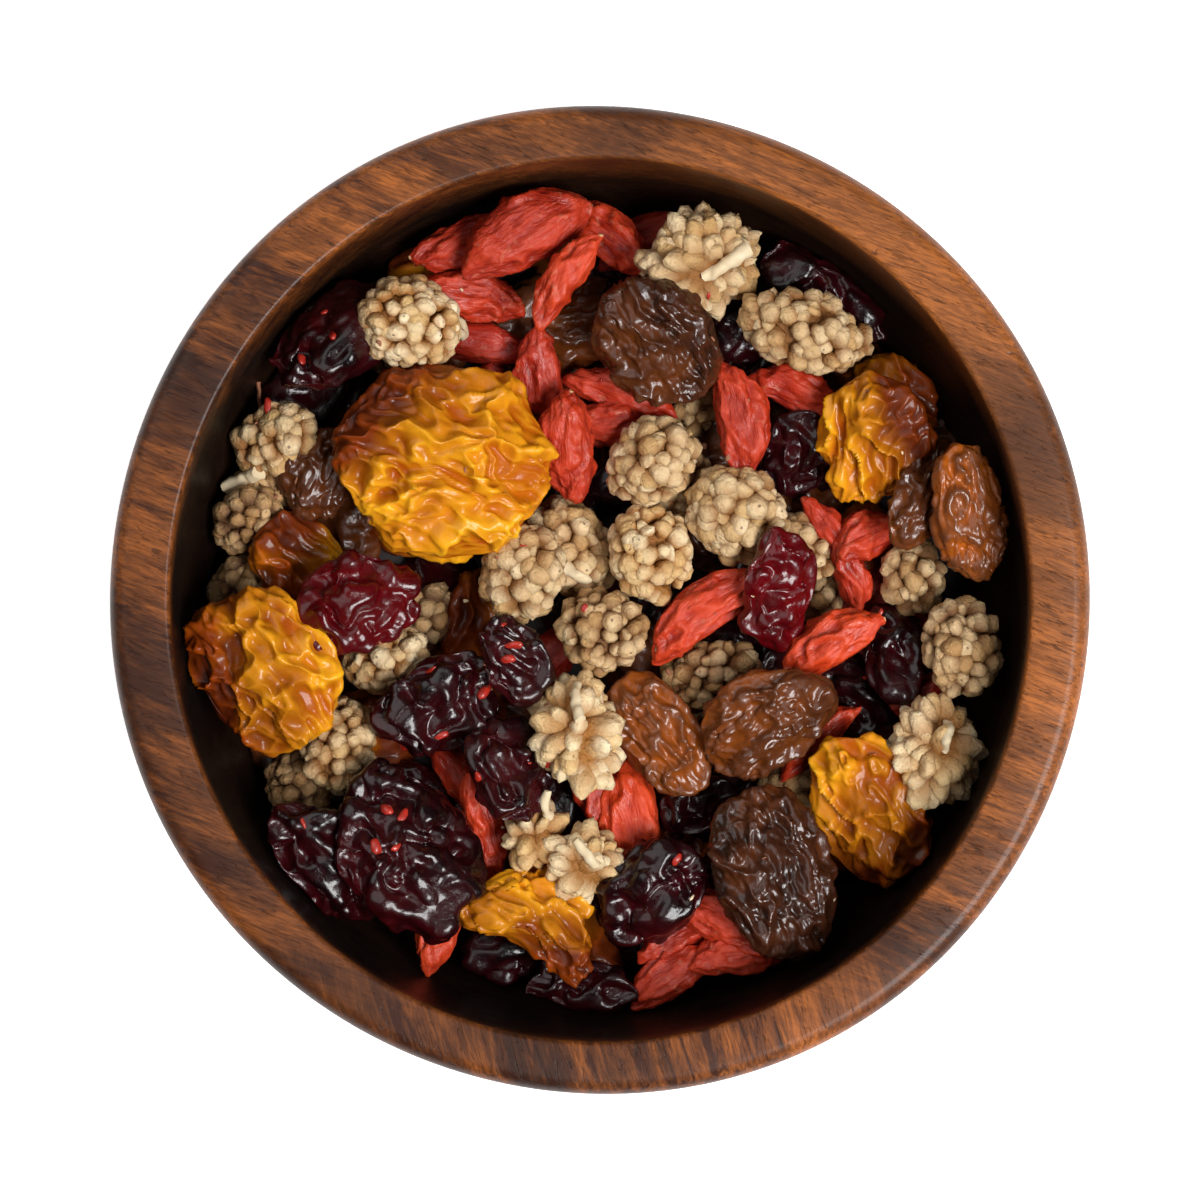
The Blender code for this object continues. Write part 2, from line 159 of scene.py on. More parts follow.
# %% [markdown]
# ## Camera, light and floor
#
# The bowl is seen from straight above, from far enough away that its side is hidden behind the rim.
# Seen from 55 cm above the rim the far and near parts of the heap keep almost one scale. The light is
# a large soft one from the lower right and a weaker one opposite, which leaves the gaps between the
# fruit black and gives each wet crease a small highlight.

# %% Stage
BOWL_DIAMETER = 105.0 * MM
BOWL_HEIGHT = 48.0 * MM
CAMERA_ABOVE_RIM = 550.0 * MM
VIEW_WIDTH = 127.4 * MM
FLOOR_SIZE = 4.0

scene.view_settings.view_transform = "Standard"
scene.view_settings.look = "None"

camera_data = bpy.data.cameras.new("camera")
camera_data.angle = 2 * math.atan(VIEW_WIDTH / 2 / CAMERA_ABOVE_RIM)
camera_data.clip_start = 0.01
camera = bpy.data.objects.new("camera", camera_data)
camera.location = (0, 0, BOWL_HEIGHT + CAMERA_ABOVE_RIM)
scene.collection.objects.link(camera)
scene.camera = camera

# Name, where it is, its size and its power in watts
LIGHTS = [
    ("key", (0.40, -0.26, 0.80), 0.42, 10.5),
    ("fill", (-0.45, 0.40, 0.85), 0.90, 3.6),
]
for name, place, size, power in LIGHTS:
    lamp = bpy.data.lights.new(name, "AREA")
    lamp.size = size
    lamp.energy = power
    lamp_object = bpy.data.objects.new(name, lamp)
    lamp_object.location = place
    lamp_object.rotation_euler = (-Vector(place)).to_track_quat("-Z", "Y").to_euler()
    scene.collection.objects.link(lamp_object)

scene.world = bpy.data.worlds.new("studio")
scene.world.use_nodes = True
sky = scene.world.node_tree.nodes["Background"]
sky.inputs["Color"].default_value = (1.0, 0.99, 0.98, 1.0)
sky.inputs["Strength"].default_value = 0.06


def new_finish(name, roughness=0.5, **sockets):
    """A material, its wiring and its shader, with the numbers that don't vary set on the shader."""
    material = bpy.data.materials.new(name)
    material.use_nodes = True
    shader = material.node_tree.nodes["Principled BSDF"]
    shader.inputs["Roughness"].default_value = roughness
    for label, value in sockets.items():
        shader.inputs[label.replace("_", " ")].default_value = value
    return material, Wiring(material.node_tree), shader.inputs


def object_of(name, mesh):
    made = bpy.data.objects.new(name, mesh)
    scene.collection.objects.link(made)
    return made


floor_finish, wiring, shader = new_finish("pale floor", roughness=0.9, Emission_Strength=0.8)
floor_mottle = wiring.noise(wiring.node("ShaderNodeTexCoord").outputs["Object"], 40.0)
floor_colour = wiring.mix_colour(floor_mottle, (0.93, 0.93, 0.93, 1), (0.95, 0.95, 0.95, 1))
wiring.tree.links.new(floor_colour, shader["Base Color"])
wiring.tree.links.new(floor_colour, shader["Emission Color"])
floor_mesh = bpy.data.meshes.new("floor")
half = FLOOR_SIZE / 2
corners = [(-half, -half, 0), (half, -half, 0), (half, half, 0), (-half, half, 0)]
floor_mesh.from_pydata(corners, [], [(0, 1, 2, 3)])
floor_mesh.materials.append(floor_finish)
floor = object_of("floor", floor_mesh)
print("camera angle:", round(math.degrees(camera_data.angle), 2), "degrees")

# %% [markdown]
# ## The turned bowl
#
# On the real bowl a lathe cuts one curve outside and another inside, and the rim is then sanded by
# hand, so it's slightly oval. The same two curves are drawn here as a profile, the Screw modifier
# turns it, and a last step moves the wall in and out by less than a millimetre. A profile with many
# points is worth its faces here, because a wide highlight runs along the rim.

# %% The bowl's curves
RIM_WIDTH = 6.2 * MM
RIM_OUTER_ROUND = 2.0 * MM
RIM_INNER_ROUND = 0.6 * MM
FLOOR_THICKNESS = 9.0 * MM
FOOT_RADIUS = 30.0 * MM
INNER_BULGE = 2.8
INNER_SLOPE = 3.0
OUTER_BULGE = 1.61
OUTER_SLOPE = 1.7
OUTER_OVAL = 0.005
OUTER_OVAL_TURN = math.radians(105)
OUTER_SQUARE = 0.0025
OUTER_SQUARE_TURN = math.radians(30)
INNER_OVAL = 0.013
INNER_OVAL_TURN = math.radians(90)
INNER_RADIUS = BOWL_DIAMETER / 2 - RIM_WIDTH
INNER_DEPTH = BOWL_HEIGHT - FLOOR_THICKNESS
BOWL_SIDES = 240


def inner_radius(z):
    """Radius of the hollow at height z, before the hand finishing."""
    depth = np.clip((BOWL_HEIGHT - z) / INNER_DEPTH, 0, 1)
    return INNER_RADIUS * (1 - depth**INNER_SLOPE) ** (1 / INNER_BULGE)


def outer_radius(z):
    depth = np.clip((BOWL_HEIGHT - z) / BOWL_HEIGHT, 0, 1)
    swell = (1 - depth**OUTER_SLOPE) ** (1 / OUTER_BULGE)
    return FOOT_RADIUS + (BOWL_DIAMETER / 2 - FOOT_RADIUS) * swell


def outer_factor(angle, z):
    """How far the hand finishing moves the outside in or out, most at the rim."""
    oval = OUTER_OVAL * np.cos(2 * (angle - OUTER_OVAL_TURN))
    square = OUTER_SQUARE * np.cos(4 * (angle - OUTER_SQUARE_TURN))
    return 1 + (oval + square) * z / BOWL_HEIGHT


def inner_factor(angle, z):
    return 1 + INNER_OVAL * np.cos(2 * (angle - INNER_OVAL_TURN)) * z / BOWL_HEIGHT


def arc(centre, radius, start, end, steps):
    """Points on a quarter round, both ends included."""
    turns = [math.radians(start + (end - start) * i / steps) for i in range(steps + 1)]
    return [(centre[0] + radius * math.cos(t), centre[1] + radius * math.sin(t)) for t in turns]


def bowl_profile(hollow_points=40, side_points=36, foot_points=6):
    """From the middle of the hollow's floor, over the rim, to the middle of the foot."""
    top = BOWL_HEIGHT
    points = [(0.0, FLOOR_THICKNESS)]
    wall_top = top - RIM_INNER_ROUND
    for i in range(hollow_points):
        turn = math.pi / 2 * (i + 1) / hollow_points
        z = FLOOR_THICKNESS + (wall_top - FLOOR_THICKNESS) * (1 - math.cos(turn)) ** 1.15
        points.append((float(inner_radius(z)), z))
    corner = (INNER_RADIUS + RIM_INNER_ROUND, top - RIM_INNER_ROUND)
    points += arc(corner, RIM_INNER_ROUND, 180, 90, 5)[1:]
    corner = (BOWL_DIAMETER / 2 - RIM_OUTER_ROUND, top - RIM_OUTER_ROUND)
    points += arc(corner, RIM_OUTER_ROUND, 90, 0, 10)
    for i in range(1, side_points):
        z = corner[1] * (1 - i / side_points) ** 1.6
        points.append((float(outer_radius(z)), z))
    points += [(FOOT_RADIUS * (1 - i / foot_points), 0.0) for i in range(foot_points)]
    points.append((0.0, 0.0))
    return points


def turned(name, profile, sides):
    """A closed solid of revolution from a profile that starts and ends on the axis."""
    outline = bpy.data.meshes.new(name)
    points = [(x, 0.0, z) for x, z in profile]
    outline.from_pydata(points, [(i, i + 1) for i in range(len(points) - 1)], [])
    lathe = object_of(name, outline)
    screw = lathe.modifiers.new("turn", "SCREW")
    screw.steps = screw.render_steps = sides
    screw.use_merge_vertices = True
    screw.merge_threshold = 1e-6
    screw.use_smooth_shade = True
    graph = bpy.context.evaluated_depsgraph_get()
    solid = bpy.data.meshes.new_from_object(lathe.evaluated_get(graph))
    bpy.data.objects.remove(lathe)
    solid.name = name
    return solid


bowl_mesh = turned("wooden_bowl", bowl_profile(), BOWL_SIDES)
hollow = bowl_mesh.attributes.new("hollow", "FLOAT", "POINT")
for vertex in bowl_mesh.vertices:
    x, y, z = vertex.co
    angle = math.atan2(y, x)
    outside = z < FLOOR_THICKNESS / 2 or math.hypot(x, y) > (inner_radius(z) + outer_radius(z)) / 2
    hollow.data[vertex.index].value = 0.0 if outside else 1.0
    factor = outer_factor(angle, z) if outside else inner_factor(angle, z)
    vertex.co = (x * factor, y * factor, z)
bowl = object_of("wooden_bowl", bowl_mesh)
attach(bowl, "root")
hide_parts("bowl")
print("bowl:", len(bowl_mesh.polygons), "faces")

# %% [markdown]
# ## Where each fruit lies
#
# A heap looks poured only when each fruit rests on the ones below it. A physics run would do that,
# but it can't be told to end in this heap. So the plan lists the fruit from the bottom of the heap
# to the top, with its place as seen from above, and the height is worked out: each one is dropped on
# a height map of what lies there already, leans with it, sinks in a little and is pushed off the wall.

# %% The plan of the heap
SINK = 0.9 * MM
CONTACT_SHARE = 0.8
MOST_LEAN = math.tan(math.radians(24))
WALL_GAP = 0.55 * MM
HEAP_TOP = 40.6 * MM
GRID_STEP = 0.8 * MM
CORE_TOP = 23.0 * MM
CORE_GAP = 0.7 * MM

# The plan is a square grid of steps seen from above, x to the right and y down. It's drawn as the
# camera sees it, so what lies deeper is spread more.
PLAN_CENTRE = (600, 598)
PLAN_BOWL_STEPS = 989
PLAN_STEP = BOWL_DIAMETER / PLAN_BOWL_STEPS

# The lowest that the middle of a fruit lies, layer by layer, and how much higher that is at the wall
LAYER_HEIGHTS = [25.5 * MM, 29.0 * MM, 33.0 * MM, 36.0 * MM]
LAYER_RISE = 3.5 * MM

# x and y are steps of the plan, heading is degrees from +X towards +Y, and the sizes are millimetres.
# Tone is each fruit's place between its kind's two colours: fresh and bright, or aged and dark.
Fruit = namedtuple("Fruit", "kind x y heading length width tone form", defaults=("whole",))

GOJI, MULBERRY, RAISIN, CRANBERRY, GOLDEN = "goji", "mulberry", "raisin", "cranberry", "golden"
THICKNESS = {GOJI: 0.80, MULBERRY: 0.85, RAISIN: 0.50, CRANBERRY: 0.52, GOLDEN: 0.42}

DEEP_LAYER = [
    Fruit(GOJI, 648, 218, 25, 12.0, 4.5, 0.20),
    Fruit(GOJI, 480, 343, -5, 11.0, 4.5, 0.20),
    Fruit(GOJI, 917, 692, 215, 9.0, 3.4, 0.30),
    Fruit(GOJI, 458, 775, -60, 10.0, 4.0, 0.40),
    Fruit(MULBERRY, 240, 477, 15, 9.0, 6.5, 0.80),
    Fruit(MULBERRY, 235, 515, 40, 9.0, 7.0, 0.80),
    Fruit(MULBERRY, 222, 583, 25, 8.5, 6.5, 0.85),
    Fruit(MULBERRY, 290, 790, 70, 9.0, 7.5, 0.85),
    Fruit(MULBERRY, 822, 595, 70, 6.5, 5.0, 0.60),
    Fruit(MULBERRY, 800, 792, -30, 9.0, 7.0, 0.70),
    Fruit(MULBERRY, 697, 405, 60, 7.0, 5.5, 0.60),
    Fruit(MULBERRY, 425, 615, 50, 8.0, 6.0, 0.80),
    Fruit(MULBERRY, 928, 785, -30, 9.0, 7.0, 0.50),
    Fruit(MULBERRY, 405, 352, -15, 9.0, 7.0, 0.50),
    Fruit(RAISIN, 582, 328, 5, 10.5, 7.5, 0.45),
    Fruit(CRANBERRY, 310, 393, 20, 11.0, 8.5, 0.10),
    Fruit(CRANBERRY, 497, 972, 5, 9.0, 7.0, 0.05),
    Fruit(CRANBERRY, 855, 700, -60, 11.5, 8.0, 0.00),
    Fruit(CRANBERRY, 745, 330, 30, 9.0, 7.0, 0.00),
    Fruit(GOLDEN, 425, 265, 5, 9.0, 6.0, 0.30),
    Fruit(GOLDEN, 475, 615, 70, 11.0, 7.5, 0.80),
    Fruit(GOLDEN, 910, 388, -55, 11.0, 8.0, 0.65),
]
LOWER_LAYER = [
    Fruit(GOJI, 465, 228, 208, 14.0, 5.2, 0.30),
    Fruit(GOJI, 605, 216, -38, 13.0, 5.2, 0.50),
    Fruit(GOJI, 470, 296, -10, 13.5, 5.4, 0.45),
    Fruit(GOJI, 540, 373, 95, 11.0, 5.0, 0.30),
    Fruit(GOJI, 622, 392, -20, 13.8, 4.4, 0.40),
    Fruit(GOJI, 610, 423, 8, 9.5, 4.8, 0.30),
    Fruit(GOJI, 795, 390, -24, 11.0, 4.8, 0.40),
    Fruit(GOJI, 828, 530, -60, 9.5, 3.2, 0.40),
    Fruit(GOJI, 850, 574, -70, 9.0, 3.5, 0.40),
    Fruit(GOJI, 868, 534, 25, 9.0, 5.2, 0.50),
    Fruit(GOJI, 815, 738, 42, 12.0, 3.8, 0.60),
    Fruit(GOJI, 632, 812, 102, 12.5, 6.4, 0.95),
    Fruit(GOJI, 590, 783, -75, 10.0, 4.0, 0.40),
    Fruit(GOJI, 485, 825, -77, 13.0, 4.8, 0.60),
    Fruit(GOJI, 433, 920, -88, 12.0, 4.8, 0.70),
    Fruit(GOJI, 670, 972, 32, 11.0, 5.0, 0.40),
    Fruit(GOJI, 745, 966, 6, 12.0, 5.0, 0.45),
    Fruit(GOJI, 678, 932, 27, 11.0, 4.0, 0.35),
    Fruit(GOJI, 720, 917, -30, 12.0, 5.2, 0.45),
    Fruit(MULBERRY, 265, 432, 25, 10.5, 7.5, 0.35),
    Fruit(MULBERRY, 385, 658, 22, 10.5, 6.8, 0.30),
    Fruit(MULBERRY, 340, 742, 80, 11.5, 8.5, 0.45),
    Fruit(MULBERRY, 568, 545, -60, 11.5, 9.0, 0.50),
    Fruit(MULBERRY, 688, 483, 60, 8.0, 6.0, 0.45),
    Fruit(MULBERRY, 712, 676, 15, 11.0, 8.5, 0.60),
    Fruit(MULBERRY, 803, 545, -50, 8.0, 5.8, 0.50),
    Fruit(MULBERRY, 912, 575, -75, 8.8, 6.8, 0.60),
    Fruit(RAISIN, 320, 470, 70, 10.0, 8.5, 0.25),
    Fruit(CRANBERRY, 798, 450, 80, 10.0, 8.5, 0.00),
    Fruit(CRANBERRY, 825, 290, -35, 15.5, 6.0, 0.05),
    Fruit(CRANBERRY, 893, 650, -80, 12.0, 7.5, 0.05),
    Fruit(CRANBERRY, 582, 985, -4, 12.0, 5.5, 0.08),
    Fruit(CRANBERRY, 697, 803, 25, 8.5, 6.5, 0.00),
    Fruit(GOLDEN, 303, 565, -45, 12.0, 9.5, 0.90),
]
UPPER_LAYER = [
    Fruit(GOJI, 523, 233, 28, 16.3, 7.4, 0.35),
    Fruit(GOJI, 568, 445, 92, 12.8, 6.2, 0.50),
    Fruit(GOJI, 740, 420, -81, 13.4, 5.8, 0.45),
    Fruit(GOJI, 705, 610, 36, 16.0, 5.8, 0.65),
    Fruit(GOJI, 830, 643, 32, 13.0, 5.6, 0.90),
    Fruit(MULBERRY, 522, 568, 75, 10.8, 9.4, 0.45),
    Fruit(MULBERRY, 650, 551, 100, 10.4, 9.8, 0.12),
    Fruit(MULBERRY, 652, 458, 35, 10.8, 9.0, 0.40),
    Fruit(MULBERRY, 737, 512, -40, 12.0, 10.0, 0.40),
    Fruit(MULBERRY, 603, 628, 40, 10.0, 9.6, 0.60),
    Fruit(MULBERRY, 700, 262, 20, 15.0, 11.5, 0.30, "split"),
    Fruit(MULBERRY, 803, 330, -20, 14.6, 9.0, 0.45),
    Fruit(MULBERRY, 960, 647, -75, 11.3, 9.0, 0.65),
    Fruit(MULBERRY, 942, 752, 85, 12.3, 9.8, 0.20, "split"),
    Fruit(MULBERRY, 533, 835, 10, 7.5, 6.5, 0.15, "split"),
    Fruit(MULBERRY, 583, 862, -40, 8.5, 8.0, 0.15, "split"),
    Fruit(CRANBERRY, 328, 320, 38, 15.5, 10.0, 0.22),
    Fruit(CRANBERRY, 322, 868, -50, 15.5, 8.5, 0.08),
    Fruit(CRANBERRY, 440, 703, 25, 14.5, 10.0, 0.10),
    Fruit(CRANBERRY, 652, 888, 40, 13.0, 10.0, 0.10),
    Fruit(RAISIN, 658, 732, -55, 15.0, 9.0, 0.75),
    Fruit(RAISIN, 922, 492, 62, 13.5, 6.0, 0.30),
    Fruit(GOLDEN, 535, 918, -30, 15.5, 9.5, 0.60, "bent"),
    Fruit(GOLDEN, 875, 812, -70, 17.0, 11.5, 0.50),
    Fruit(GOLDEN, 873, 437, 80, 14.8, 12.2, 0.48),
]
TOP_LAYER = [
    Fruit(MULBERRY, 408, 323, -15, 12.0, 10.0, 0.15),
    Fruit(GOJI, 565, 278, 56, 12.3, 4.0, 0.70),
    Fruit(MULBERRY, 577, 730, -76, 14.5, 8.8, 0.00, "split"),
    Fruit(RAISIN, 656, 340, -55, 14.8, 13.0, 0.15),
    Fruit(RAISIN, 766, 718, 32, 15.8, 10.8, 0.45),
    Fruit(RAISIN, 772, 870, -72, 19.0, 13.0, 0.05),
    Fruit(RAISIN, 968, 510, -78, 15.0, 8.0, 1.00),
    Fruit(CRANBERRY, 515, 657, -50, 10.0, 7.5, 0.08),
    Fruit(CRANBERRY, 510, 770, -75, 12.0, 8.8, 0.18),
    Fruit(CRANBERRY, 405, 850, -65, 19.0, 14.5, 0.12),
    Fruit(CRANBERRY, 778, 588, 80, 13.0, 8.3, 1.00),
    Fruit(CRANBERRY, 360, 600, 25, 13.0, 11.0, 0.95),
    Fruit(GOLDEN, 443, 458, -20, 22.8, 21.0, 0.18),
    Fruit(GOLDEN, 254, 670, -55, 18.2, 15.2, 0.62),
]


# %% Dropping the fruit
def plan_position(fruit, depth):
    """Where a fruit's middle is, from its place in the plan and its depth below the rim."""
    spread = PLAN_STEP * (1 + depth / CAMERA_ABOVE_RIM)
    return np.array([fruit.x - PLAN_CENTRE[0], PLAN_CENTRE[1] - fruit.y]) * spread


def half_sizes(fruit):
    half = np.array([fruit.length, fruit.width, fruit.width * THICKNESS[fruit.kind]])
    return half * MM / 2


def sphere_points(rings=9, sides=16):
    """Points spread over a unit sphere, to test a fruit against the wall."""
    points = [
        (math.sin(a) * math.cos(b), math.sin(a) * math.sin(b), math.cos(a))
        for a in (math.pi * (i + 0.5) / rings for i in range(rings))
        for b in (2 * math.pi * j / sides for j in range(sides))
    ]
    return np.array(points)


def lie(place, height, slope, heading):
    """The matrix of a fruit that lies at a place with its flat side on a slope."""
    normal = Vector((-slope[0], -slope[1], 1)).normalized()
    lean = Vector((0, 0, 1)).rotation_difference(normal).to_matrix().to_4x4()
    turn = Matrix.Rotation(math.radians(heading), 4, "Z")
    return Matrix.Translation((place[0], place[1], height)) @ lean @ turn


def push_from_wall(place, matrix, half, ball):
    """Moves a place towards the middle until the fruit clears the bowl's wall."""
    turned_points = np.array(matrix.to_3x3()) @ (ball * half).T
    x, y = turned_points[0] + place[0], turned_points[1] + place[1]
    heights = turned_points[2] + matrix.translation.z
    room = inner_radius(heights) * inner_factor(np.arctan2(y, x), heights) - WALL_GAP
    over = max(0.0, float((np.hypot(x, y) - room).max()))
    distance = math.hypot(*place)
    return place * (1 - over / distance) if over > 0 and distance > over else place


def settle(layers):
    """Drops the fruits one after another on a height map of the heap, and returns their matrices."""
    side = np.arange(-INNER_RADIUS, INNER_RADIUS + GRID_STEP, GRID_STEP)
    grid_x, grid_y = np.meshgrid(side, side, indexing="ij")
    surface = np.full(grid_x.shape, CORE_TOP)
    ball = sphere_points()
    matrices = []
    for fruit, lowest in [(f, h) for layer, h in zip(layers, LAYER_HEIGHTS) for f in layer]:
        half, place = half_sizes(fruit), plan_position(fruit, BOWL_HEIGHT - lowest)
        heading = math.radians(fruit.heading)
        for _ in range(3):
            along = (grid_x - place[0]) * math.cos(heading) + (grid_y - place[1]) * math.sin(heading)
            across = (grid_y - place[1]) * math.cos(heading) - (grid_x - place[0]) * math.sin(heading)
            spread = (along / half[0]) ** 2 + (across / half[1]) ** 2
            under = spread < 0.9
            bulge = half[2] * np.sqrt(1 - spread[under])
            columns = np.stack(
                [grid_x[under] - place[0], grid_y[under] - place[1], np.ones(under.sum())], axis=1
            )
            slope = np.linalg.lstsq(columns, surface[under], rcond=None)[0][:2]
            slope *= min(1.0, MOST_LEAN / max(float(np.hypot(*slope)), 1e-9))
            plane = columns[:, :2] @ slope
            touch = surface[under] - plane + bulge
            rise = LAYER_RISE * (math.hypot(*place) / INNER_RADIUS) ** 2
            height = max(float(np.quantile(touch, CONTACT_SHARE)) - SINK, lowest + rise)
            height = min(height, HEAP_TOP - half[2])
            matrix = lie(place, height, slope, fruit.heading)
            moved = push_from_wall(place, matrix, half, ball)
            if np.allclose(moved, place):
                break
            place = moved
        surface[under] = np.maximum(surface[under], height + plane + bulge)
        matrices.append(matrix)
    return matrices


LAYERS = [DEEP_LAYER, LOWER_LAYER, UPPER_LAYER, TOP_LAYER]
fruits = [fruit for layer in LAYERS for fruit in layer]
places = settle(LAYERS)
heights = [matrix.translation.z / MM for matrix in places]
print(len(fruits), "fruits, their middles from", round(min(heights), 1), "to", round(max(heights), 1))

# %% [markdown]
# ## Skin that shrank
#
# A fruit loses its water and its skin doesn't, so the skin folds. Two things happen, and each has its
# own pattern. Where the skin is thin it creases like cloth: sharp crests wander about with wide smooth
# hollows between them. That's what noise gives where it passes through its middle value. Where the
# skin sticks to the flesh it buckles into ridges of an even width that fork, as on a raisin. That
# pattern grows by itself when a field of random numbers is sharpened again and again: blur it a
# little, take away what a wide blur leaves, and push the rest towards plus or minus one.


# %% Buckled skin
def build_buckle():
    """A group that stores a wandering pattern from -1 to 1 on a mesh, under the name of buckle."""
    inputs = [
        ("Geometry", "NodeSocketGeometry", None),
        ("Seed", "NodeSocketFloat", 0.0),
        ("Blur", "NodeSocketInt", 1),
        ("Rounds", "NodeSocketInt", 12),
    ]
    outputs = [("Geometry", "NodeSocketGeometry")]
    tree, w, given, result = new_tree("buckled skin", "GeometryNodeTree", inputs, outputs)
    grit = w.node(
        "ShaderNodeTexWhiteNoise",
        {"Vector": w.scaled(w.attribute("rest", "FLOAT_VECTOR"), 997.0), "W": given["Seed"]},
        noise_dimensions="4D",
    ).outputs["Value"]
    start = w.store(given["Geometry"], "buckle", w.math("SUBTRACT", grit, 0.5))
    first = w.node("GeometryNodeRepeatInput")
    last = w.node("GeometryNodeRepeatOutput")
    first.pair_with_output(last)
    w.tree.links.new(given["Rounds"], first.inputs["Iterations"])
    w.tree.links.new(start, first.inputs["Geometry"])
    near = w.blurred(w.attribute("buckle"), given["Blur"])
    far = w.blurred(near, w.math("MULTIPLY", given["Blur"], 3.0))
    sharper = w.math("TANH", w.math("MULTIPLY", w.math("SUBTRACT", near, far), 6.0))
    w.tree.links.new(w.store(first.outputs["Geometry"], "buckle", sharper), last.inputs["Geometry"])
    w.tree.links.new(last.outputs["Geometry"], result["Geometry"])
    return tree


def build_ridges():
    """A group that gives 1 on sharp wandering crests and 0 in the smooth hollows between them."""
    inputs = [
        ("Place", "NodeSocketVector", None),
        ("Scale", "NodeSocketVector", (0.3, 0.3, 0.3)),
        ("Power", "NodeSocketFloat", 1.5),
        ("Wander", "NodeSocketFloat", 2.2),
        ("Seed", "NodeSocketFloat", 0.0),
    ]
    outputs = [("Ridge", "NodeSocketFloat")]
    tree, w, given, result = new_tree("ridges", "GeometryNodeTree", inputs, outputs)
    drift = w.noise(given["Place"], 0.16, detail=1.0, seed=given["Seed"], out=1)
    drift = w.scaled(w.vector("SUBTRACT", drift, (0.5, 0.5, 0.5)), given["Wander"])
    place = w.vector("ADD", w.vector("MULTIPLY", given["Place"], given["Scale"]), drift)
    value = w.noise(place, 1.0, detail=1.0, seed=w.math("ADD", given["Seed"], 5.0))
    flank = w.math("MULTIPLY", w.math("ABSOLUTE", w.math("SUBTRACT", value, 0.5)), 7.0)
    ridge = w.math("POWER", w.math("SUBTRACT", 1.0, flank, clamp=True), given["Power"])
    w.tree.links.new(ridge, result["Ridge"])
    return tree

# %% [markdown]
# ## One wrinkled fruit
#
# A dried fruit is a plump form whose skin moved in and out. The mesh starts as a cube with many points,
# spread over a ball, since that has no crowded poles as a globe has. The ball is drawn out to the
# fruit's form, and then folds, creases and ridges move each point along the skin's own normal.


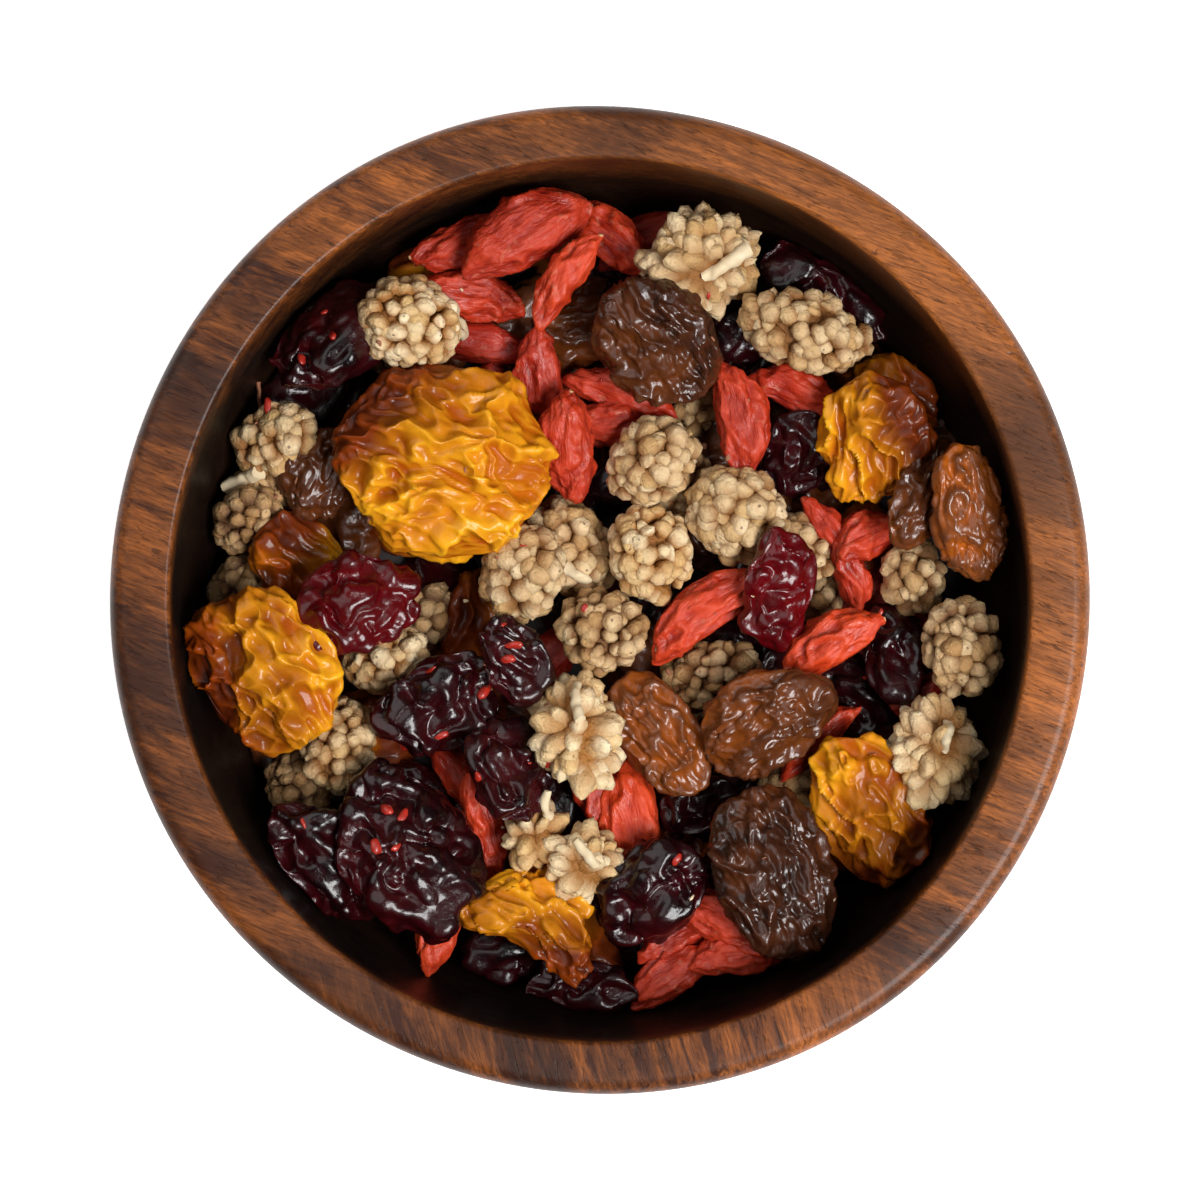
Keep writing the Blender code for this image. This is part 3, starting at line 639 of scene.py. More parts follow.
# %% One wrinkled fruit
def build_wrinkled_fruit(buckle, ridges):
    """One dried fruit round the origin, its length along X. The sizes are half sizes in metres.

    It stores the place of each point on the unwrinkled form as rest, in millimetres, the direction
    from the middle as way, and how high each point lies on its folds and creases.
    """
    inputs = [
        ("Size", "NodeSocketVector", (0.007, 0.005, 0.003)),
        ("Points along", "NodeSocketInt", 30),
        ("Points across", "NodeSocketInt", 30),
        ("Points high", "NodeSocketInt", 20),
        ("Taper", "NodeSocketFloat", 1.0),
        ("Bend", "NodeSocketFloat", 0.0),
        ("Lumps", "NodeSocketFloat", 0.1),
        ("Lump scale", "NodeSocketFloat", 1.0),
        ("Fold scale", "NodeSocketVector", (0.3, 0.3, 0.3)),
        ("Fold depth", "NodeSocketFloat", 0.001),
        ("Fold power", "NodeSocketFloat", 1.5),
        ("Crease scale", "NodeSocketVector", (0.9, 0.9, 0.9)),
        ("Crease depth", "NodeSocketFloat", 0.0003),
        ("Crease power", "NodeSocketFloat", 1.3),
        ("Buckle depth", "NodeSocketFloat", 0.0),
        ("Buckle blur", "NodeSocketInt", 3),
        ("Buckle rounds", "NodeSocketInt", 0),
        ("Seed", "NodeSocketFloat", 0.0),
        ("Finish", "NodeSocketMaterial", None),
    ]
    outputs = [("Geometry", "NodeSocketGeometry")]
    tree, w, given, result = new_tree("wrinkled fruit", "GeometryNodeTree", inputs, outputs)
    cube_sizes = {
        "Size": (2.0, 2.0, 2.0),
        "Vertices X": given["Points along"],
        "Vertices Y": given["Points across"],
        "Vertices Z": given["Points high"],
    }
    cube = w.node("GeometryNodeMeshCube", cube_sizes).outputs["Mesh"]

    # A cube's points spread evenly over a ball
    position = w.node("GeometryNodeInputPosition").outputs[0]
    ball = w.vector("NORMALIZE", w.vector("TANGENT", w.scaled(position, math.pi / 4)))
    shaped = w.store(cube, "way", ball, "FLOAT_VECTOR")

    # The ball drawn out to the fruit's form, uneven and bent, with drawn-in ends
    way = w.attribute("way", "FLOAT_VECTOR")
    uneven = w.noise(way, given["Lump scale"], detail=1.2, seed=given["Seed"], out=1)
    uneven = w.vector("SUBTRACT", uneven, (0.5, 0.5, 0.5))
    uneven = w.scaled(uneven, w.math("MULTIPLY", given["Lumps"], 2.0))
    x, y, z = w.split(w.vector("ADD", way, uneven))
    along = w.math("MINIMUM", w.math("MULTIPLY", x, x), 0.9999)
    half_power = w.math("DIVIDE", w.math("SUBTRACT", given["Taper"], 1.0), 2.0)
    girth = w.math("POWER", w.math("SUBTRACT", 1.0, along), half_power)
    form = w.joined(x, w.math("MULTIPLY", y, girth), w.math("MULTIPLY", z, girth))
    form = w.vector("MULTIPLY", form, given["Size"])
    half_length = w.split(given["Size"])[0]
    bend = w.math("MULTIPLY", given["Bend"], half_length)
    sideways = w.math("MULTIPLY", bend, w.math("SUBTRACT", along, 0.33))
    form = w.vector("SUBTRACT", form, w.joined(0.0, sideways, 0.0))
    shaped = w.node("GeometryNodeSetPosition", {"Geometry": shaped, "Position": form}).outputs[0]
    shaped = w.store(shaped, "rest", w.scaled(position, 1000.0), "FLOAT_VECTOR")

    # Folds, and smaller creases between them, pushed along the skin's own normal. The sharp outline of
    # a flat fruit has no room for them, so they fade there.
    rest = w.attribute("rest", "FLOAT_VECTOR")
    normal = w.node("GeometryNodeInputNormal").outputs[0]
    upright = w.math("ABSOLUTE", w.split(way)[2])
    fade = w.remap(upright, 0.0, 0.45, 0.2, 1.0)
    patches = w.noise(rest, 0.18, detail=0.0, seed=w.math("ADD", given["Seed"], 31.0))
    patchy = w.remap(patches, 0.3, 0.6, 0.4, 1.0)
    for name, shift in (("Fold", 17.0), ("Crease", 43.0)):
        group = w.node("GeometryNodeGroup", node_tree=ridges)
        w.tree.links.new(rest, group.inputs["Place"])
        w.tree.links.new(given[f"{name} scale"], group.inputs["Scale"])
        w.tree.links.new(given[f"{name} power"], group.inputs["Power"])
        w.tree.links.new(w.math("ADD", given["Seed"], shift), group.inputs["Seed"])
        shaped = w.store(shaped, name.lower(), group.outputs["Ridge"])
        height = w.math("SUBTRACT", w.attribute(name.lower()), 0.35)
        lift = w.math("MULTIPLY", w.math("MULTIPLY", height, given[f"{name} depth"]), fade)
        if name == "Crease":
            lift = w.math("MULTIPLY", lift, patchy)
        moves = {"Geometry": shaped, "Offset": w.scaled(normal, lift)}
        shaped = w.node("GeometryNodeSetPosition", moves).outputs[0]
    group = w.node("GeometryNodeGroup", node_tree=buckle)
    w.tree.links.new(shaped, group.inputs["Geometry"])
    w.tree.links.new(given["Seed"], group.inputs["Seed"])
    w.tree.links.new(given["Buckle blur"], group.inputs["Blur"])
    w.tree.links.new(given["Buckle rounds"], group.inputs["Rounds"])
    lift = w.math("MULTIPLY", w.blurred(w.attribute("buckle"), 1), given["Buckle depth"])
    lift = w.math("MULTIPLY", lift, patchy)
    moves = {"Geometry": group.outputs[0], "Offset": w.scaled(normal, lift)}
    shaped = w.node("GeometryNodeSetPosition", moves).outputs[0]
    smooth = w.node("GeometryNodeSetShadeSmooth", {"Geometry": shaped}).outputs[0]
    whole = w.node("GeometryNodeRealizeInstances", {"Geometry": smooth}).outputs[0]
    done = w.node("GeometryNodeSetMaterial", {"Geometry": whole, "Material": given["Finish"]}).outputs[0]
    w.tree.links.new(done, result["Geometry"])
    return tree

# %% [markdown]
# ## From trees to pieces
#
# A node tree makes nothing until a modifier runs it. So each fruit is grown on an empty object, copied
# off as a plain mesh and moved to its place. The fruits of one kind are then joined into one piece.


# %% From trees to pieces
def grow(tree, name, **values):
    """Runs a tree with these named inputs on nothing, and returns what it made as a plain mesh."""
    holder = object_of(name, bpy.data.meshes.new(name))
    modifier = holder.modifiers.new("grow", "NODES")
    modifier.node_group = tree
    for socket in tree.interface.items_tree:
        key = socket.name.replace(" ", "_")
        if socket.in_out == "INPUT" and key in values:
            modifier[socket.identifier] = values[key]
    graph = bpy.context.evaluated_depsgraph_get()
    mesh = bpy.data.meshes.new_from_object(holder.evaluated_get(graph))
    bpy.data.objects.remove(holder)
    return mesh


def one_piece(name, meshes):
    """Joins meshes that are already in place into one object at the origin."""
    parts = [object_of(name, mesh) for mesh in meshes]
    with bpy.context.temp_override(active_object=parts[0], selected_editable_objects=parts):
        bpy.ops.object.join()
    joined = parts[0]
    joined.name = joined.data.name = name
    count = sum(len(polygon.vertices) - 2 for polygon in joined.data.polygons)
    print(name, "has", count, "triangles")
    return joined


def food(piece):
    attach(piece, "root")
    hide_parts("dried_fruit")


fruit_tree = build_wrinkled_fruit(build_buckle(), build_ridges())

# %% [markdown]
# ## Skins, in colour
#
# Every wrinkled fruit shows the same thing in its colour: the crests of the folds are stretched thin
# and pale, and the hollows are dark, partly the skin's own colour and partly painted shade. One group
# turns what the tree stored into masks, and each material mixes its own colours with them. A second
# set of colours is for the fruit at the other end of the kind's range, such as an amber raisin among
# brown ones. One fruit can be both, since its tone can grow towards the wall of the bowl.


# %% Fruit finishes
def build_skin_mask():
    """Crest is 1 on a fold and 0 in a hollow, Blotch varies slowly and Tone is the fruit's own."""
    inputs = [("Blotch scale", "NodeSocketFloat", 200.0)]
    outputs = [("Crest", "NodeSocketFloat"), ("Blotch", "NodeSocketFloat"), ("Tone", "NodeSocketFloat")]
    tree, w, given, result = new_tree("skin mask", "ShaderNodeTree", inputs, outputs)
    fold = w.node("ShaderNodeAttribute", attribute_name="fold").outputs["Fac"]
    crease = w.node("ShaderNodeAttribute", attribute_name="crease").outputs["Fac"]
    tone = w.node("ShaderNodeAttribute", attribute_name="tone").outputs["Fac"]
    crest = w.math("MULTIPLY_ADD", fold, 0.7, w.math("MULTIPLY", crease, 0.45), clamp=True)
    place = w.node("ShaderNodeTexCoord").outputs["Object"]
    blotch = w.remap(w.noise(place, given["Blotch scale"], detail=3.0), 0.38, 0.62)
    shifted = w.math("MULTIPLY_ADD", w.math("SUBTRACT", blotch, 0.5), 0.35, tone)
    w.tree.links.new(crest, result["Crest"])
    w.tree.links.new(blotch, result["Blotch"])
    w.tree.links.new(w.remap(shifted, 0.05, 0.95), result["Tone"])
    return tree


skin_mask = build_skin_mask()
PALE_SPECK = rgb(236, 176, 138)
PALE_END = rgb(232, 186, 132)


def fruit_finish(name, fresh, aged, roughness, blotch_scale, grain, streaks=0.0, specks=0.0, **sockets):
    """A skin. Fresh and aged are each a hollow, a crest and a blotch colour."""
    material, w, shader = new_finish(name, roughness, **sockets)
    mask = w.node("ShaderNodeGroup", node_tree=skin_mask)
    mask.inputs["Blotch scale"].default_value = blotch_scale
    pair = [w.mix_colour(mask.outputs["Tone"], first, second) for first, second in zip(fresh, aged)]
    # On fruit whose folds stand out, the hollows mostly take the darker first colour: partly the skin's own
    # colour and partly painted shade
    colour = w.mix_colour(mask.outputs["Crest"], pair[0], pair[1])
    colour = w.mix_colour(w.math("MULTIPLY", mask.outputs["Blotch"], 0.5), colour, pair[2])
    place = w.node("ShaderNodeTexCoord").outputs["Object"]
    height = w.noise(place, 1500.0, detail=3.0, roughness=0.6)
    rest = w.node("ShaderNodeAttribute", attribute_name="rest").outputs["Vector"]
    if streaks:
        lines = w.noise(w.vector("MULTIPLY", rest, (0.5, 2.6, 2.6)), 1.0, detail=3.0, distortion=0.5)
        colour = w.mix_colour(w.remap(lines, 0.42, 0.62, 0.0, streaks), colour, pair[1])
        height = w.math("MULTIPLY_ADD", lines, 3.0, height)
    if specks:
        pale = w.remap(w.noise(place, 1100.0, detail=1.0), 0.64, 0.72, 0.0, specks)
        colour = w.mix_colour(pale, colour, PALE_SPECK)
        end = w.split(w.node("ShaderNodeAttribute", attribute_name="way").outputs["Vector"])[0]
        colour = w.mix_colour(w.remap(end, 0.975, 0.985), colour, PALE_END)
    w.tree.links.new(colour, shader["Base Color"])
    bump = w.node("ShaderNodeBump", {"Strength": grain, "Distance": 0.00015, "Height": height}).outputs[0]
    w.tree.links.new(bump, shader["Normal"])
    rough = w.remap(mask.outputs["Blotch"], 0.0, 1.0, roughness * 0.75, roughness * 1.3)
    w.tree.links.new(rough, shader["Roughness"])
    return material


golden_skin = fruit_finish(
    "golden berry skin",
    (rgb(160, 72, 2), rgb(242, 172, 30), rgb(212, 118, 6)),
    (rgb(62, 18, 3), rgb(158, 66, 8), rgb(96, 34, 4)),
    0.40,
    blotch_scale=130.0,
    grain=0.45,
    Specular_IOR_Level=0.15,
    Coat_Weight=0.25,
    Coat_Roughness=0.12,
    Subsurface_Weight=0.1,
    Subsurface_Scale=0.0012,
    Subsurface_Radius=(1.0, 0.45, 0.1),
)
raisin_skin = fruit_finish(
    "raisin skin",
    (rgb(34, 14, 5), rgb(70, 34, 18), rgb(50, 21, 8)),
    (rgb(178, 88, 8), rgb(112, 64, 38), rgb(108, 50, 8)),
    0.34,
    blotch_scale=170.0,
    grain=0.6,
    Specular_IOR_Level=0.35,
    Coat_Weight=0.4,
    Coat_Roughness=0.16,
)
cranberry_skin = fruit_finish(
    "cranberry skin",
    (rgb(12, 3, 4), rgb(52, 4, 10), rgb(16, 4, 6)),
    (rgb(78, 2, 7), rgb(106, 4, 12), rgb(42, 2, 6)),
    0.28,
    blotch_scale=200.0,
    grain=0.8,
    Specular_IOR_Level=0.25,
    Coat_Weight=0.45,
    Coat_Roughness=0.12,
)
goji_skin = fruit_finish(
    "goji skin",
    (rgb(96, 8, 5), rgb(170, 38, 20), rgb(130, 20, 10)),
    (rgb(156, 24, 7), rgb(222, 74, 28), rgb(200, 50, 15)),
    0.48,
    blotch_scale=190.0,
    streaks=0.5,
    specks=0.12,
    grain=0.55,
)

# %% [markdown]
# ## The wrinkled fruit
#
# Four kinds differ only in their numbers: how pointed they are, how uneven, and how wide and deep
# their folds are. Each number can be measured on a fruit in the bowl, so it's easy to set right. The
# spacing of the points follows the size of the fruit, because a fold needs several points across it.

# %% Wrinkled fruit, kind by kind
# Spacing is along and across the fruit, in mm. Folds and creases are each a scale along and across,
# in turns per mm, a depth in mm and a power that makes them sharper. Buckle is a width and a depth.
# Broad is the width in mm of a fruit with such folds: they're finer and shallower on a narrower one.
# Wall side is how much the tone grows towards the wall of the bowl.
Skin = namedtuple("Skin", "finish spacing fold crease buckle broad taper lumps lump_scale bend wall_side")
SKINS = {
    GOJI: Skin(
        finish=goji_skin,
        spacing=(0.36, 0.22),
        fold=(0.14, 0.40, 0.75, 1.1),
        crease=(0.5, 1.2, 0.25, 1.1),
        buckle=(0.8, 0.05),
        broad=5.4,
        taper=1.5,
        lumps=0.16,
        lump_scale=0.9,
        bend=0.2,
        wall_side=0.1,
    ),
    RAISIN: Skin(
        finish=raisin_skin,
        spacing=(0.22, 0.20),
        fold=(0.13, 0.32, 1.2, 1.5),
        crease=(0.35, 0.9, 0.45, 1.4),
        buckle=(1.1, 0.05),
        broad=12.0,
        taper=0.95,
        lumps=0.22,
        lump_scale=1.0,
        bend=0.0,
        wall_side=-0.2,
    ),
    CRANBERRY: Skin(
        finish=cranberry_skin,
        spacing=(0.25, 0.25),
        fold=(0.07, 0.10, -1.7, 1.9),
        crease=(0.3, 0.4, -0.2, 1.4),
        buckle=(1.2, 0.0),
        broad=12.0,
        taper=0.95,
        lumps=0.36,
        lump_scale=1.3,
        bend=0.0,
        wall_side=0.2,
    ),
    GOLDEN: Skin(
        finish=golden_skin,
        spacing=(0.22, 0.20),
        fold=(0.07, 0.17, 1.75, 1.6),
        crease=(0.22, 0.56, 0.6, 1.6),
        buckle=(1.0, 0.0),
        broad=18.0,
        taper=0.95,
        lumps=0.22,
        lump_scale=1.2,
        bend=0.0,
        wall_side=1.7,
    ),
}
DEEP_COARSER = 1.5
BENT_MUCH = 0.6
BENT_UNEVEN = 2.0
BUCKLE_ROUNDS = 12
WAVE_PER_BLUR = 4.1
SEED_STEP = 1.7

# Each face of the cube becomes a quarter round, 1.6 half sizes long. The side faces of a flat fruit are
# shorter: they reach 45 degrees up and down from its edge.
QUARTER_ROUND = 1.6
SIDE_DEPTH = 0.29
SIDE_HEIGHT = 0.7
LEAST_POINTS = 8
LEAST_POINTS_HIGH = 6


def grow_wrinkled(fruit, seed, coarser):
    skin = SKINS[fruit.kind]
    half = half_sizes(fruit) / MM
    along, across = (step * coarser for step in skin.spacing)
    edge = 2 * math.hypot(SIDE_DEPTH * (half[0] + half[1]) / 2, SIDE_HEIGHT * half[2])
    buckle_width, buckle_depth = skin.buckle
    fold_along, fold_across, fold_depth, fold_power = skin.fold
    crease_along, crease_across, crease_depth, crease_power = skin.crease
    finer = math.sqrt(skin.broad / (2 * half[1]))
    return grow(
        fruit_tree,
        fruit.kind,
        Size=(half * MM).tolist(),
        Points_along=max(LEAST_POINTS, round(QUARTER_ROUND * half[0] / along)),
        Points_across=max(LEAST_POINTS, round(QUARTER_ROUND * half[1] / across)),
        Points_high=max(LEAST_POINTS_HIGH, round(edge / across)),
        Taper=skin.taper,
        Bend=BENT_MUCH if fruit.form == "bent" else skin.bend,
        Lumps=skin.lumps * (BENT_UNEVEN if fruit.form == "bent" else 1.0),
        Lump_scale=skin.lump_scale,
        Fold_scale=(fold_along * finer, fold_across * finer, fold_across * finer),
        Fold_depth=fold_depth * MM / finer,
        Fold_power=fold_power,
        Crease_scale=(crease_along, crease_across, crease_across),
        Crease_depth=crease_depth * MM,
        Crease_power=crease_power,
        Buckle_depth=buckle_depth * MM,
        Buckle_blur=max(1, round((buckle_width / (WAVE_PER_BLUR * across)) ** 2)),
        Buckle_rounds=BUCKLE_ROUNDS if buckle_depth else 0,
        Seed=seed * SEED_STEP,
        Finish=skin.finish,
    )


def set_tone(mesh, tone, wall_side=0.0):
    """The fruit's own tone on every vertex of a fruit in place, growing towards the bowl's wall."""
    points = np.empty(len(mesh.vertices) * 3, dtype=np.float32)
    mesh.vertices.foreach_get("co", points)
    points = points.reshape(-1, 3)
    middle = points.mean(axis=0)
    offsets = (points - middle) @ (middle * (1, 1, 0))
    share = offsets / max(float(np.abs(offsets).max()), 1e-9)
    layer = mesh.attributes.new("tone", "FLOAT", "POINT")
    tones = np.clip(tone + wall_side * share * np.abs(share), 0, 1)
    layer.data.foreach_set("value", tones.astype(np.float32))


def wrinkled(kind):
    """All the fruit of one kind, each grown with its own seed and laid in its place."""
    grown = []
    for seed, (fruit, place) in enumerate(zip(fruits, places)):
        if fruit.kind == kind:
            mesh = grow_wrinkled(fruit, seed, DEEP_COARSER if fruit in DEEP_LAYER else 1.0)
            mesh.transform(place)
            set_tone(mesh, fruit.tone, SKINS[kind].wall_side)
            grown.append(mesh)
    return grown


foods = []
for kind, name in (
    (GOJI, "goji_berries"),
    (RAISIN, "raisins"),
    (CRANBERRY, "cranberries"),
    (GOLDEN, "golden_berries"),
):
    foods.append(one_piece(name, wrinkled(kind)))
    food(foods[-1])

# %% [markdown]
# ## White mulberries
#
# A mulberry is a stem with a spiral of small soft drupelets packed on it. That's what points on a
# spiral of the golden angle give, so Geometry Nodes place the beads and vary their size. Where a
# berry split as it dried, the beads leave a groove open and the pale stem shows.


# %% Mulberry beads
def mulberry_finish():
    """Pale beads with painted shade where they meet, some with the dark dot that the flower left."""
    material, w, shader = new_finish(
        "mulberry beads",
        roughness=0.62,
        Subsurface_Weight=0.15,
        Subsurface_Scale=0.001,
        Subsurface_Radius=(1.0, 0.7, 0.4),
    )
    stored = ("bead", "outward", "dot", "tone")
    bead, outward, dot, tone = (
        w.node("ShaderNodeAttribute", attribute_name=name).outputs["Fac"] for name in stored
    )
    place = w.node("ShaderNodeTexCoord").outputs["Object"]
    blotch = w.remap(w.noise(place, 420.0, detail=3.0), 0.36, 0.64)
    fresh = w.mix_colour(bead, rgb(232, 192, 128), rgb(255, 236, 196))
    aged = w.mix_colour(bead, rgb(134, 90, 48), rgb(206, 166, 112))
    colour = w.mix_colour(tone, fresh, aged)
    colour = w.mix_colour(w.math("MULTIPLY", blotch, 0.4), colour, rgb(186, 132, 72))
    # Painted shade: the low part of each bead, where the beads meet, is painted darker
    deep = w.mix_colour(tone, rgb(166, 108, 44), rgb(66, 40, 24))
    colour = w.mix_colour(outward, deep, colour)
    dotted = w.math("MULTIPLY", w.remap(dot, 0.70, 0.80), w.math("GREATER_THAN", bead, 0.85))
    colour = w.mix_colour(w.math("MULTIPLY", dotted, 0.7), colour, rgb(64, 44, 32))
    w.tree.links.new(colour, shader["Base Color"])
    height = w.noise(place, 1500.0, detail=4.0, roughness=0.6)
    bump = w.node("ShaderNodeBump", {"Strength": 1.0, "Distance": 0.0005, "Height": height}).outputs[0]
    w.tree.links.new(bump, shader["Normal"])
    return material


def build_mulberry():
    """Beads on a spiral round the origin, its length along X. The sizes are half sizes in metres."""
    inputs = [
        ("Size", "NodeSocketVector", (0.006, 0.005, 0.004)),
        ("Beads", "NodeSocketInt", 64),
        ("Bead size", "NodeSocketFloat", 0.0011),
        ("Bead length", "NodeSocketFloat", 1.0),
        ("Open", "NodeSocketFloat", 0.0),
        ("Uneven", "NodeSocketFloat", 0.14),
        ("Groove", "NodeSocketFloat", 0.0),
        ("Seed", "NodeSocketInt", 0),
        ("Finish", "NodeSocketMaterial", None),
    ]
    outputs = [("Geometry", "NodeSocketGeometry")]
    tree, w, given, result = new_tree("mulberry", "GeometryNodeTree", inputs, outputs)
    seed = given["Seed"]

    def random(low, high, shift, kind="FLOAT"):
        """A random value for each bead."""
        limits = {2: low, 3: high} if kind == "FLOAT" else {0: low, 1: high}
        inputs = {**limits, "ID": index, "Seed": w.math("ADD", seed, shift)}
        outputs = w.node("FunctionNodeRandomValue", inputs, data_type=kind).outputs
        return outputs[1] if kind == "FLOAT" else outputs[0]

    # Points on a spiral of the golden angle round the berry's length
    golden_angle = math.pi * (3 - math.sqrt(5))
    points = w.node("GeometryNodeMeshLine", {"Count": given["Beads"]}).outputs[0]
    index = w.node("GeometryNodeInputIndex").outputs[0]
    share = w.math("DIVIDE", w.math("ADD", index, 0.5), given["Beads"])
    x = w.math("MULTIPLY_ADD", share, -2.0, 1.0)
    ring = w.math("SQRT", w.math("SUBTRACT", 1.0, w.math("MULTIPLY", x, x)))
    turn = w.math("MULTIPLY", index, golden_angle)
    ring_y = w.math("MULTIPLY", ring, w.math("COSINE", turn))
    ring_z = w.math("MULTIPLY", ring, w.math("SINE", turn))
    way = w.joined(x, ring_y, ring_z)
    jitter = random((-1.0, -1.0, -1.0), (1.0, 1.0, 1.0), 0.0, "FLOAT_VECTOR")
    way = w.vector("NORMALIZE", w.vector("ADD", way, w.scaled(jitter, given["Uneven"])))
    points = w.store(points, "way", way, "FLOAT_VECTOR")
    lumps = w.noise(way, 1.3, detail=1.0, seed=seed)
    reach = w.math("MULTIPLY_ADD", lumps, 0.5, 0.72)
    reach = w.math("MULTIPLY", reach, w.math("MULTIPLY_ADD", given["Open"], -0.3, 1.0))
    placed = w.vector("MULTIPLY", w.scaled(way, reach), given["Size"])
    points = w.node("GeometryNodeSetPosition", {"Geometry": points, "Position": placed}).outputs[0]

    # No beads on the hidden underside, nor in the groove of a berry that split
    stored_way = w.attribute("way", "FLOAT_VECTOR")
    way_x, way_y, way_z = w.split(stored_way)
    below = w.math("LESS_THAN", way_z, -0.6)
    open_side = w.math("MULTIPLY", w.math("GREATER_THAN", way_z, 0.3), w.math("GREATER_THAN", way_x, -0.55))
    near_middle = w.math("LESS_THAN", w.math("ABSOLUTE", way_y), given["Groove"])
    in_groove = w.math("MULTIPLY", near_middle, open_side)
    gone = w.math("GREATER_THAN", w.math("ADD", below, in_groove), 0.5)
    points = w.node("GeometryNodeDeleteGeometry", {"Geometry": points, "Selection": gone}).outputs[0]

    # A soft drop on each point, that knows how far out it lies and where its tip is
    bead = w.node("GeometryNodeMeshIcoSphere", {"Radius": 1.0, "Subdivisions": 2}).outputs[0]
    height = w.split(w.node("GeometryNodeInputPosition").outputs[0])[2]
    # How far out a point lies on its bead; the finish paints shade on the low part, where beads meet
    bead = w.store(bead, "outward", w.remap(height, 0.15, 0.85))
    bead = w.store(bead, "dot", w.remap(height, 0.9, 1.0))
    level = w.math("MULTIPLY_ADD", given["Open"], -0.65, 1.0)
    outward = w.vector("MULTIPLY", stored_way, w.joined(1.0, 1.0, level))
    tilt = random((-1.0, -1.0, -1.0), (1.0, 1.0, 1.0), 5.0, "FLOAT_VECTOR")
    outward = w.vector("ADD", outward, w.scaled(tilt, 0.25))
    turned_out = w.node("FunctionNodeAlignRotationToVector", {"Vector": outward}, axis="Z").outputs[0]
    size = w.math("MULTIPLY", random(0.72, 1.25, 7.0), given["Bead size"])
    width = w.math("MULTIPLY", size, random(0.75, 1.1, 9.0))
    drawn_out = w.math("MULTIPLY", given["Bead length"], random(0.85, 1.2, 11.0))
    scale = w.joined(size, width, w.math("MULTIPLY", size, drawn_out))
    spots = {"Points": points, "Instance": bead, "Rotation": turned_out, "Scale": scale}
    beads = w.node("GeometryNodeInstanceOnPoints", spots).outputs[0]
    beads = w.store(beads, "bead", random(0.0, 1.0, 3.0), domain="INSTANCE")
    core = w.node("GeometryNodeMeshIcoSphere", {"Radius": 1.0, "Subdivisions": 4}).outputs[0]
    core_size = w.scaled(given["Size"], 0.86)
    core = w.node("GeometryNodeTransform", {"Geometry": core, "Scale": core_size}).outputs[0]
    both = w.node("GeometryNodeJoinGeometry")
    w.tree.links.new(beads, both.inputs[0])
    w.tree.links.new(core, both.inputs[0])
    whole = w.node("GeometryNodeRealizeInstances", {"Geometry": both.outputs[0]}).outputs[0]

    # Then it all shrivels a little
    position = w.node("GeometryNodeInputPosition").outputs[0]
    shrivel = w.noise(position, 760.0, detail=2.0, seed=w.math("MULTIPLY", seed, 1.3), out=1)
    shrivel = w.vector("SUBTRACT", shrivel, (0.5, 0.5, 0.5))
    shrivel = w.scaled(shrivel, w.math("MULTIPLY", given["Bead size"], 1.25))
    whole = w.node("GeometryNodeSetPosition", {"Geometry": whole, "Offset": shrivel}).outputs[0]
    whole = w.node("GeometryNodeSetShadeSmooth", {"Geometry": whole}).outputs[0]
    done = w.node("GeometryNodeSetMaterial", {"Geometry": whole, "Material": given["Finish"]}).outputs[0]
    w.tree.links.new(done, result["Geometry"])
    return tree


# %% White mulberries
mulberry_tree = build_mulberry()
mulberry_skin = mulberry_finish()
BEAD_RADIUS = 1.2 * MM
BEAD_PITCH = 1.56 * MM
BEAD_VARIES = 0.10
BEAD_LENGTH = 0.9
OPEN_BEAD_LENGTH = 2.0
GROOVE = 0.22

# In a tight packing each round takes this share of the square of its pitch, and rows are this share of
# the pitch apart
TIGHT = 0.866
berries = []
for seed, (fruit, place) in enumerate(zip(fruits, places)):
    if fruit.kind == MULBERRY:
        split = fruit.form == "split"
        size = half_sizes(fruit) - BEAD_RADIUS * 0.7
        surface = 4 * math.pi / 3 * (size[0] * size[1] + size[1] * size[2] + size[0] * size[2])
        berry = grow(
            mulberry_tree,
            "mulberry",
            Size=size.tolist(),
            Beads=round(surface / (TIGHT * BEAD_PITCH**2)),
            Bead_size=BEAD_RADIUS * (1.0 + BEAD_VARIES * math.sin(2.3 * seed)),
            Bead_length=OPEN_BEAD_LENGTH if split else BEAD_LENGTH,
            Open=1.0 if split else 0.0,
            Groove=GROOVE if split else 0.0,
            Seed=seed,
            Finish=mulberry_skin,
        )
        berry.transform(place)
        set_tone(berry, fruit.tone)
        berries.append(berry)
foods.append(one_piece("white_mulberries", berries))
food(foods[-1])

# %% [markdown]
# ## Stems and pips
#
# The small things say that the heap is real fruit: pale stems where a mulberry split or kept its
# stalk, and red pips where a cranberry was cut. Each lies on whatever fruit is under it, which a ray
# from above finds. A stem is a round curve with a radius at each end, and a pip is a flat oval.

# %% Stems
stem_finish, wiring, shader = new_finish("mulberry stem", roughness=0.75)
place = wiring.node("ShaderNodeTexCoord").outputs["Object"]
stem_mottle = wiring.noise(place, 900.0, detail=2.0)
stem_colour = wiring.mix_colour(stem_mottle, rgb(204, 174, 128), rgb(240, 226, 194))
wiring.tree.links.new(stem_colour, shader["Base Color"])
stalk_finish = new_finish("brown stalk", roughness=0.8)[0]
stalk_finish.node_tree.nodes["Principled BSDF"].inputs["Base Color"].default_value = rgb(150, 96, 68)

STEM_LUMP = 1.1 * MM
STEM_UNEVEN = 0.35 * MM
SEEN_DEPTH = 12.0 * MM

# Noise vectors start from the clock, and differ on each run, unless they're given a seed
UNEVEN_SEED = 6
noise.seed_set(UNEVEN_SEED)
surfaces = [BVHTree.FromObject(obj, bpy.context.evaluated_depsgraph_get()) for obj in foods]


